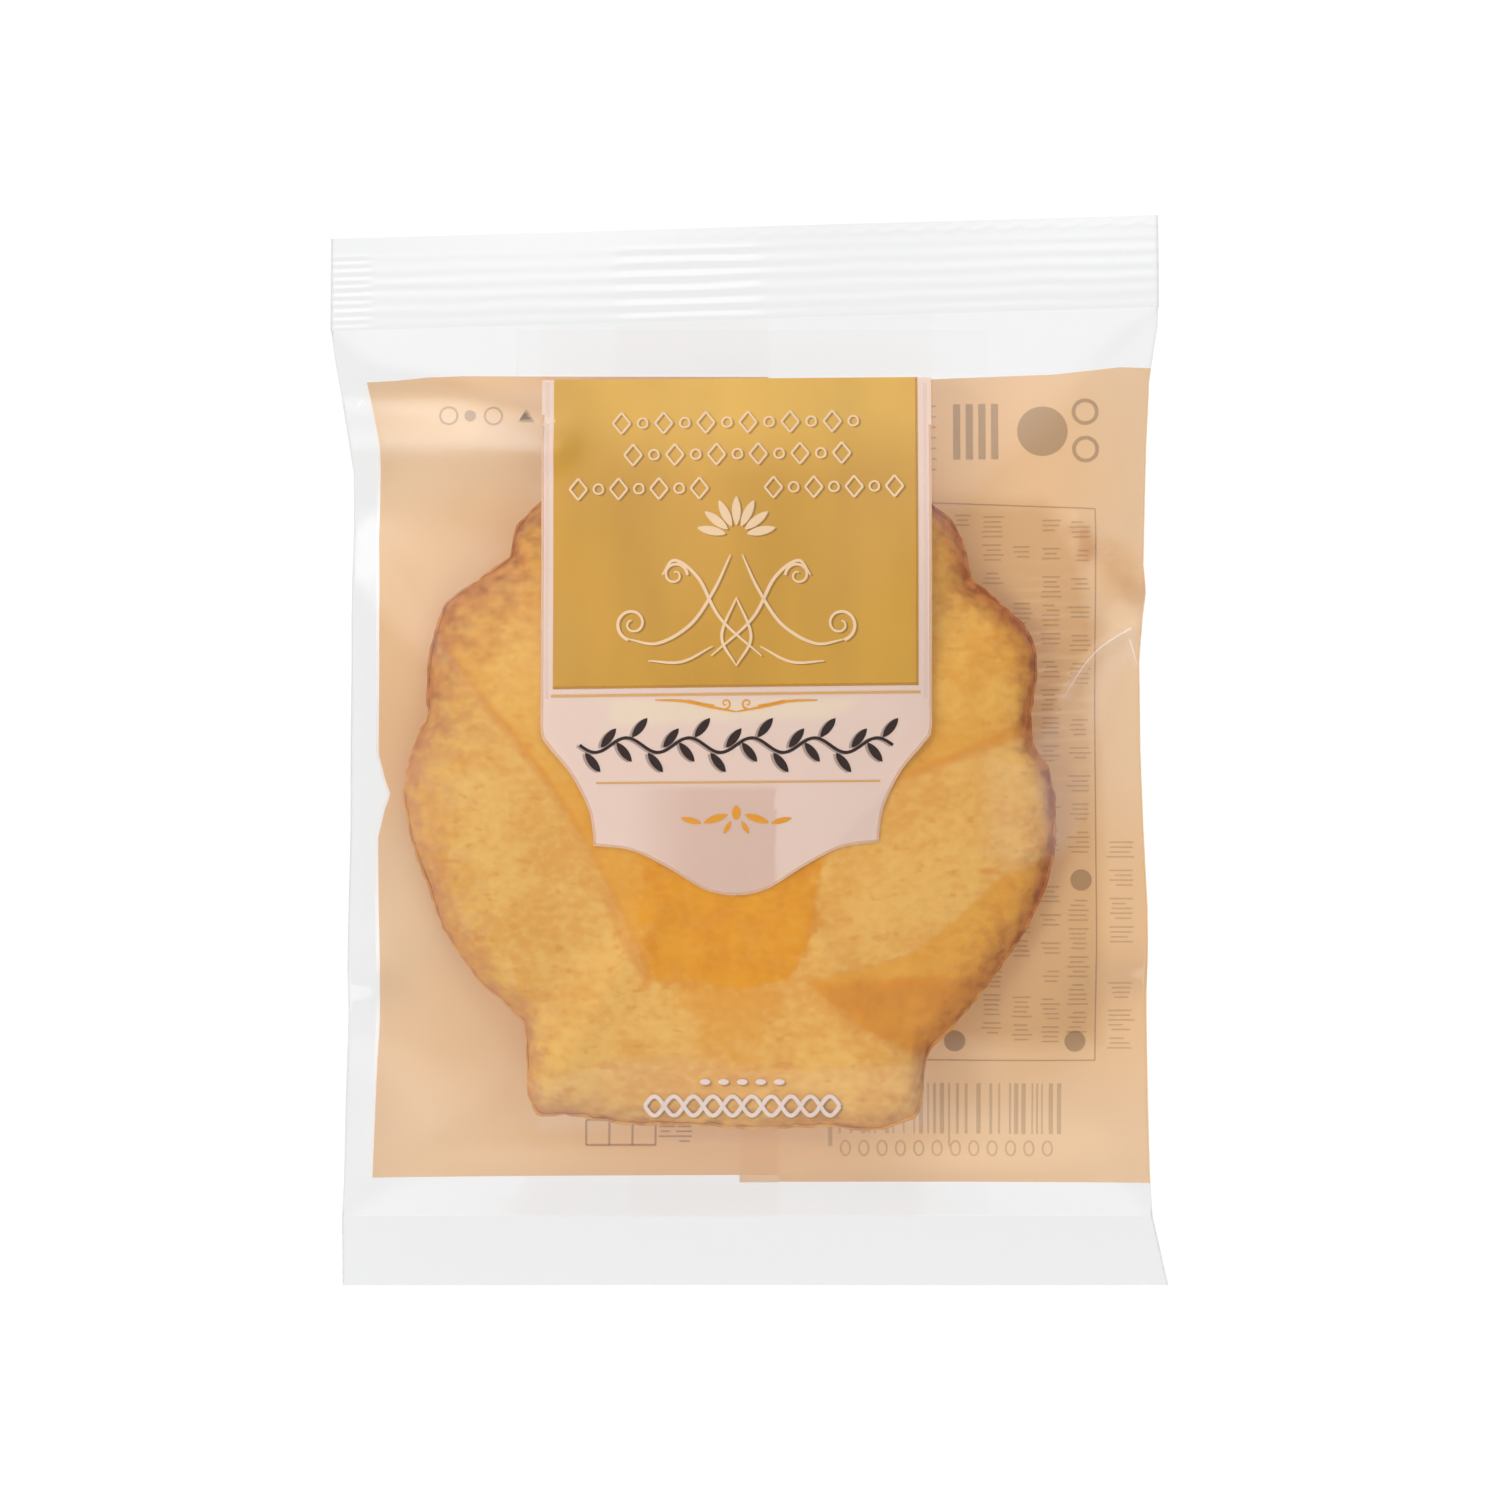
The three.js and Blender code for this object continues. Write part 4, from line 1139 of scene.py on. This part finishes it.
# Butter darkens it where it lies on the cake's crown.
x, y = shield[..., 0], shield[..., 1]
damp = np.clip((x + 13.0) / 7.0, 0, 1) * (x < 2.6) * np.clip((-3.4 - y) / 0.8, 0, 1)
cream = np.clip(0.5 + inside_distance(x, y, CREAM_OUTLINE) / 0.8, 0, 1)
print_bands("label_shield", [shield], front_sheet, -2 * INK_GAP, white_ink, "label_white",
            damp=damp, cream=cream)

t = np.linspace(0, 1, 121)[:, None]
gold = ruled(*(np.array([x, top]) * (1 - t) + np.array([x, bottom]) * t for x, top, bottom in zip(
    (GOLD_LEFT, GOLD_RIGHT), LABEL_TOP, GOLD_BOTTOM)), 90)
# Painted highlight: the gold is made brighter at the top and at the lower right.
x, y = gold[..., 0], gold[..., 1]
bright = np.clip((y - 27.5) / 7, 0, 1) * np.clip(1.0 - np.abs(x - 1.0) / 40, 0.5, 0.8)
bright += 0.2 * np.clip((x + 4) / 14, 0, 1) * np.clip((20 - y) / 8, 0, 1)
print_bands("label_gold_panel", [gold], front_sheet, -INK_GAP, gold_ink, "label_gold",
            bright=np.clip(bright, 0, 1))


def centred(bands):
    """Bands given from the label's middle line, moved to it."""
    return [band + (LABEL_MIDDLE, 0) for band in bands]


def mirrored(bands):
    """Bands given from the label's middle line, and their mirror images about it, moved to it."""
    return centred(bands + [band * (-1, 1) for band in bands])


def spiral(centre, start, turns, size, width, steps=44):
    """A spiral band that starts at an angle (degrees) with a radius and winds in to a fifth of it."""
    s = np.linspace(0, 1, steps + 1)
    turn = np.radians(start) + 2 * np.pi * turns * s
    radius = size * (1 - 0.8 * s)
    path = np.array(centre) + np.stack([np.cos(turn), np.sin(turn)], -1) * radius[:, None]
    return ribbon(path, width * (1 - 0.5 * s))


def stroke(points, width, count=40):
    """A curved band through points that thins out at both ends."""
    s = np.linspace(0, 1, count)
    return ribbon(curve_through(points, count), width * (0.35 + 0.65 * np.sin(np.pi * s) ** 0.6))


def print_raised(name, bands, face, shadow, offset):
    """Bands on the front sheet over their own soft shadow, which is the same bands moved by offset.
    Face and shadow each give a gap, counted in ink gaps, an ink and a slot."""
    for label, moved, (gap, material, slot) in ((name + "_shadow", offset, shadow), (name, (0, 0), face)):
        print_bands(label, [band + moved for band in bands], front_sheet, gap * INK_GAP, material, slot)


pale_ink = ink_material("pale_ink", ink(238, 205, 165), 0.9)
shade_ink = ink_material("print_shadow", ink(150, 104, 40), 0.35)
rim_line_ink = ink_material("rim_line_ink", ink(226, 186, 150), 0.5)
white_line_ink = ink_material("white_line_ink", ink(222, 198, 196), 0.12)
plait_ink = ink_material("plait_ink", ink(242, 222, 210), 0.85)
edge_ink = ink_material("gold_edge_ink", ink(200, 142, 42), 0.45)
rule_ink = ink_material("gold_line_ink", ink(214, 164, 92), 0.88)
brown_ink = ink_material("brown_ink", ink(40, 16, 10), 0.97, roughness=0.6)
brown_shade = ink_material("brown_shadow", ink(120, 96, 88), 0.35)
orange_ink = ink_material("orange_ink", ink(222, 150, 40), 0.95)

# Lines border the gold panel and the shield, and a thin rule runs under each field.
RULE_DROP = (0.72, 0.7)  # below the gold's left and right corners
low_left, low_right = np.array([GOLD_LEFT, GOLD_BOTTOM[0]]), np.array([GOLD_RIGHT, GOLD_BOTTOM[1]])
print_bands("gold_panel_edges", [
    line((GOLD_RIGHT - 0.12, LABEL_TOP[1]), low_right - (0.12, 0), 0.25, 80),
    line(low_left + (0, 0.13), low_right + (0, 0.13), 0.28, 80),
], front_sheet, 0.5 * -INK_GAP, edge_ink, "label_gold")
print_bands("label_rules", [
    line(low_left - (0.2, RULE_DROP[0]), low_right + (0.2, -RULE_DROP[1]), 0.26, 80),
    line((-15.7, -3.38), (13.3, -3.15), 0.2, 60),
], front_sheet, 0.5 * -INK_GAP, rule_ink, "label_gold")
# The shield's border lies just inside its outline and leaves its top open.
border = np.concatenate([left_side[4:], right_side[5:][::-1]]) * (0.993, 1) + (LABEL_MIDDLE, 0.1)
print_bands("label_border", [ribbon(border, 0.28)], front_sheet, -1.5 * INK_GAP, rim_line_ink,
            "label_white")
print_bands("label_frame_lines", [
    line((x, LABEL_TOP[0] - 0.3), (x, GOLD_BOTTOM[0] - 1), 0.4, 80)
    for x in (GOLD_LEFT - 0.65, GOLD_RIGHT + 0.75)
], front_sheet, -1.5 * INK_GAP, white_line_ink, "label_white")

# A small scroll hangs from the upper rule.
scroll = mirrored([
    stroke([(-8.3, 5.1), (-5.5, 5.0), (-2.6, 4.4), (0.0, 3.9)], 0.28),
    stroke([(-5.0, 5.1), (-3.4, 4.7), (-2.2, 4.55)], 0.22), spiral((-1.1, 4.75), -90, 1.1, 0.55, 0.2)])
print_bands("label_scroll", scroll, front_sheet, -INK_GAP, orange_ink, "label_gold")

# Rows of lozenges and rings lie on the gold, over a palmette, two pairs of scrolls and a drop.
LOZENGE_ROWS = [  # y, and x of the first and the last
    (33.7, -13.2, 10.6), (30.4, -12.0, 9.4), (26.9, -17.6, -5.2), (26.9, 2.4, 14.8)]
LOZENGE_PITCH = 2.1
ROW_TILT = 0.012

rows = []
for y_row, x_from, x_to in LOZENGE_ROWS:
    for k, x in enumerate(np.linspace(x_from, x_to, round((x_to - x_from) / LOZENGE_PITCH) + 1)):
        y = y_row + ROW_TILT * (x - LABEL_MIDDLE)
        if k % 2:
            rows += [loop((x, y), 0.5, 0.2, 16)]
        else:
            rows += [line((x - 0.9, y), (x, y + side), 0.22, 4) for side in (1.1, -1.1)]
            rows += [line((x, y + side), (x + 0.9, y), 0.22, 4) for side in (1.1, -1.1)]
leaves = centred([
    blob((2.6 * np.sin(a), 21.9 + 2.6 * np.cos(a)), 3.0, 0.9, np.pi / 2 - a, 0.8)
    for a in np.radians((-78, -52, -26, 0, 26, 52, 78))])
scrolls = mirrored([
    stroke([(-0.6, 20.0), (-2.2, 16.5), (-4.6, 12.9), (-8.0, 10.9), (-11.0, 11.3)], 0.34, 60),
    spiral((-10.6, 12.9), -105, -1.4, 1.7, 0.34),
    stroke([(2.6, 9.6), (-1.6, 13.4), (-3.9, 17.6), (-6.3, 19.4), (-7.6, 17.9)], 0.34, 60),
    spiral((-6.3, 17.9), 0, 1.3, 1.3, 0.3),
    stroke([(-9.0, 9.1), (-5.6, 9.0), (-2.4, 10.6)], 0.28, 30)])
drop = mirrored([stroke([(0.0, 15.6), (-1.5, 11.6), (0.0, 8.6)], 0.3, 30)])
print_raised("label_ornament", rows + leaves + scrolls + drop, (-0.5, pale_ink, "label_white"),
             (-0.75, shade_ink, "label_gold"), (0.22, -0.12))

# A leafy garland and a small sprig lie on the shield.
GARLAND_WAVE = 6.4


def wave(x, y, height, length, start):
    """Places along a sine wave about a level line."""
    return np.stack([x, y + height * np.sin((x - start) * 2 * np.pi / length)], -1)


def stem(x):
    """The garland's wavy stem."""
    return wave(x, 0.5, 0.75, GARLAND_WAVE, LABEL_MIDDLE)


garland = [ribbon(stem(np.linspace(-17.4, 14.6, 90)), 0.32)]
for k, place in enumerate(stem(-16.6 + 1.6 * np.arange(20))):
    side = 1 if k % 2 else -1
    garland += [blob(place + (0.55, side * 1.25), 2.5, 0.85, np.radians(52 * side), 0.8)]
print_raised("label_garland", garland, (-1, brown_ink, "ink_brown"),
             (-1.5, brown_shade, "ink_brown"), (-0.28, -0.08))
sprig = mirrored([
    blob(centre, length, width, np.radians(turn), 0.8) for centre, length, width, turn in (
        ((-2.1, -7.0), 2.6, 0.75, 18), ((-4.6, -7.2), 2.2, 0.6, -14), ((-0.9, -7.9), 1.5, 0.5, 60))])
sprig += centred([blob((0, -6.4), 1.5, 0.9, np.pi / 2, 0.7)])
print_bands("label_sprig", sprig, front_sheet, -INK_GAP, orange_ink, "label_gold")

# Painted highlights: white ink gleams along the sharp creases of the film, most near the fold.
gleam_ink = ink_material("crease_gleam", ink(252, 246, 242), 0.45, roughness=0.3)
gleams = [ribbon(curve_through(path, 50), 0.15 * np.linspace(1, 0.08, 50)) for path in BRIGHT_CREASES]
print_bands("film_crease_gleams", gleams, front_sheet, INK_GAP, gleam_ink, "clear_film")

# A plaited rule under a row of dashes lies low on the front.
plait_x = np.linspace(-10.8, 9.2, 120)
plait = [ribbon(wave(plait_x, -36.5, height, 4.0, -0.8), 0.42) for height in (1, -1)]
plait += [blob((-4.6 + 1.9 * k, -34.0), 1.1, 0.6, 0, 0.6) for k in range(5)]
print_raised("lower_plait", plait, (-0.4, plait_ink, "label_white"),
             (-0.8, shade_ink, "label_white"), (0.2, -0.2))


# ---- Marks under the back print ---------------------------------------------------------------
# Small printing on the outside of the back shows through the beige from inside: a ruled panel of
# dashes, dots and bars, with a few plain shapes round it.
MARK = ink(70, 44, 26)
SHOWN_MARK = ink(118, 78, 42)  # the same ink as it looks through the beige
BARS_FROM, BARS_TO = 8.1, 33.0  # x of the row of upright bars
CELL_PITCH = 2.9
EMPTY_CELLS = 0.12  # the share of cells left empty
DASH_PITCH = 0.5
DASH_HEIGHT = 0.18


def dashes(x, y_from, y_to, width, seed):
    """A column of short level dashes in cells of one height, three to five a cell; their number and
    widths come from a repeatable random sequence."""
    bands, chance = [], np.random.default_rng(seed)
    for y in np.arange(y_from, y_to, -CELL_PITCH):
        if chance.random() < EMPTY_CELLS:
            continue
        for k in range(chance.integers(3, 6)):
            w = 1.2 * width * chance.uniform(0.5, 1.0)
            shift = chance.uniform(-0.5, 0.5) * (width - w)
            left, right, level = x + shift - w / 2, x + shift + w / 2, y - DASH_PITCH * k
            bands += [line((left, level), (right, level), DASH_HEIGHT, 2)]
    return bands


def disc(centre, radius, steps=16):
    """A filled circle: an ellipse of equal length and width."""
    return blob(centre, 2 * radius, 2 * radius, 0.0, 0.5, steps)


# The panel's border, three dots on it, and its columns of dashes
marks = [
    line((10.0, 25.9), (35.5, 24.8), 0.14, 60), line((35.5, 24.8), (35.7, -32.1), 0.14, 120),
    line((10.0, -32.1), (35.7, -32.1), 0.14, 60)]
marks += [disc(centre, 1.1) for centre in ((34.1, -13.4), (33.6, -30.1), (21.2, -30.1))]
faint_marks = []
for seed, x, top, low, width in (
        (0, 34.0, 23.4, -11.0, 1.9), (1, 33.8, -15.5, -28.5, 1.9), (2, 31.0, 23.6, -30.5, 1.8),
        (3, 28.0, 23.8, -30.5, 1.8), (4, 25.0, 24.0, -30.5, 1.8), (5, 22.0, 24.2, -27.5, 1.8),
        (6, 19.0, 24.4, -30.5, 1.6), (21, 38.2, -9.5, -31.5, 2.4)):
    faint_marks += dashes(x, top, low, width, seed)
# A row of upright bars of chance widths, over a row of rings
chance = np.random.default_rng(7)
x = BARS_FROM
while x < BARS_TO:
    width = chance.choice([0.18, 0.22, 0.3, 0.45])
    low = -41.1 if x < 9 or 19.8 < x < 21 or x > 32.3 else -39.8
    faint_marks += [line((x + width / 2, -34.5), (x + width / 2, low), width, 12)]
    x += width + chance.choice([0.3, 0.4, 0.6, 0.9])
faint_marks += [loop((x, -41.3), (0.5, 0.75), 0.2, 14) for x in np.arange(9.9, 32.0, 1.9)]
# Four bars, a disc, two rings and a row of ticks at the upper right; small shapes at the upper left
marks += [line((x, 35.8), (x, 30.0), 0.75, 8) for x in 21.4 + 1.3 * np.arange(4)]
marks += [disc((30.2, 32.9), 2.6)] + [loop((34.6, y), 1.2, 0.4, 20) for y in (34.9, 31.0)]
marks += [line((18.7, y), (19.3, y), 0.16, 2) for y in np.arange(29.0, 36.0, 1.1)]
marks += [ribbon([(-23.2, 34.0), (-23.2, 35.3)], [1.7, 0.1]), disc((-29.0, 34.6), 0.6)]
marks += [loop((x, 34.6), 0.9, 0.22, 16) for x in (-26.6, -31.2)]
# Three boxes in a row under the cake's foot
marks += [line((-17.0, y), (-9.8, y), 0.22, 6) for y in (-38.4, -41.0)]
marks += [line((x, -38.4), (x, -41.0), 0.22, 6) for x in (-17.0, -9.8, -14.6, -12.2)]
marks += dashes(-8.6, -38.6, -41.0, 1.6, 31) + dashes(-6.8, -38.6, -41.0, 1.4, 32)
# Each group is printed on the outside, and again inside the film as it looks through the beige.
for place, gap, color, cover, faint_cover in (
        ("", -1, MARK, 0.6, 0.35), ("_inside", 2, SHOWN_MARK, 0.2, 0.13)):
    for kind, bands, share in (("", marks, cover), ("_faint", faint_marks, faint_cover)):
        name = "back_marks" + kind + place
        mark_ink = ink_material(name + "_ink", color, share, roughness=0.6)
        print_bands(name, bands, back_sheet, gap * INK_GAP, mark_ink, "ink_brown")


# ---- The fin ----------------------------------------------------------------------------------
# Along the back, the sheet's two edges are welded into a fin that is folded over to the left and
# lies under the bag. The last 4 mm of the beige print run on into it.
FIN_GAP = 0.13
FIN_WIDTH = 15.8
FIN_PRINT_WIDTH = 4.1  # how far the beige runs on into the fin
FIN_COLUMNS = 37

fin_film = film_material("fin_film", 0.0, 0.2, (1.0, 0.995, 0.99), faces=0.6)
t = np.linspace(0, 1, LONG_STEPS + 1)[:, None]
s = np.linspace(0, 1, FIN_COLUMNS)[None, :]
seam_line = seam_u[0] * (1 - t) + seam_u[1] * t
u = seam_line - FIN_WIDTH / cell_width * (1 - s)
make_piece("fin", on_sheet(back_sheet, u, cells * t + 0 * u, -FIN_GAP),
           grid_faces(LONG_STEPS + 1, FIN_COLUMNS), fin_film, "clear_film")
u = seam_line - FIN_PRINT_WIDTH / cell_width * (1 - s[:, ::4])
low_v, high_v = (back_cell(2.0, edge[0][1])[1] for edge in (RIGHT_BOTTOM, RIGHT_TOP))
v = low_v + (high_v - low_v) * t + 0 * u
make_piece("fin_print", on_sheet(back_sheet, u, v, 0.03 - FIN_GAP),
           grid_faces(LONG_STEPS + 1, u.shape[1]), fin_ink, "printed_film")
# Below the left field the end of the fin's print shows on its own.
low, high = RIGHT_BOTTOM[0][1], PRINT_BOTTOM[-1][1] + 0.1
end = ruled(*([(x, low), (x, high)] for x in (SEAM_BOTTOM - FIN_PRINT_WIDTH, SEAM_BOTTOM)), 12)
print_bands("fin_print_end", [end], back_sheet, 0.06 - FIN_GAP, fin_end_ink, "printed_film")
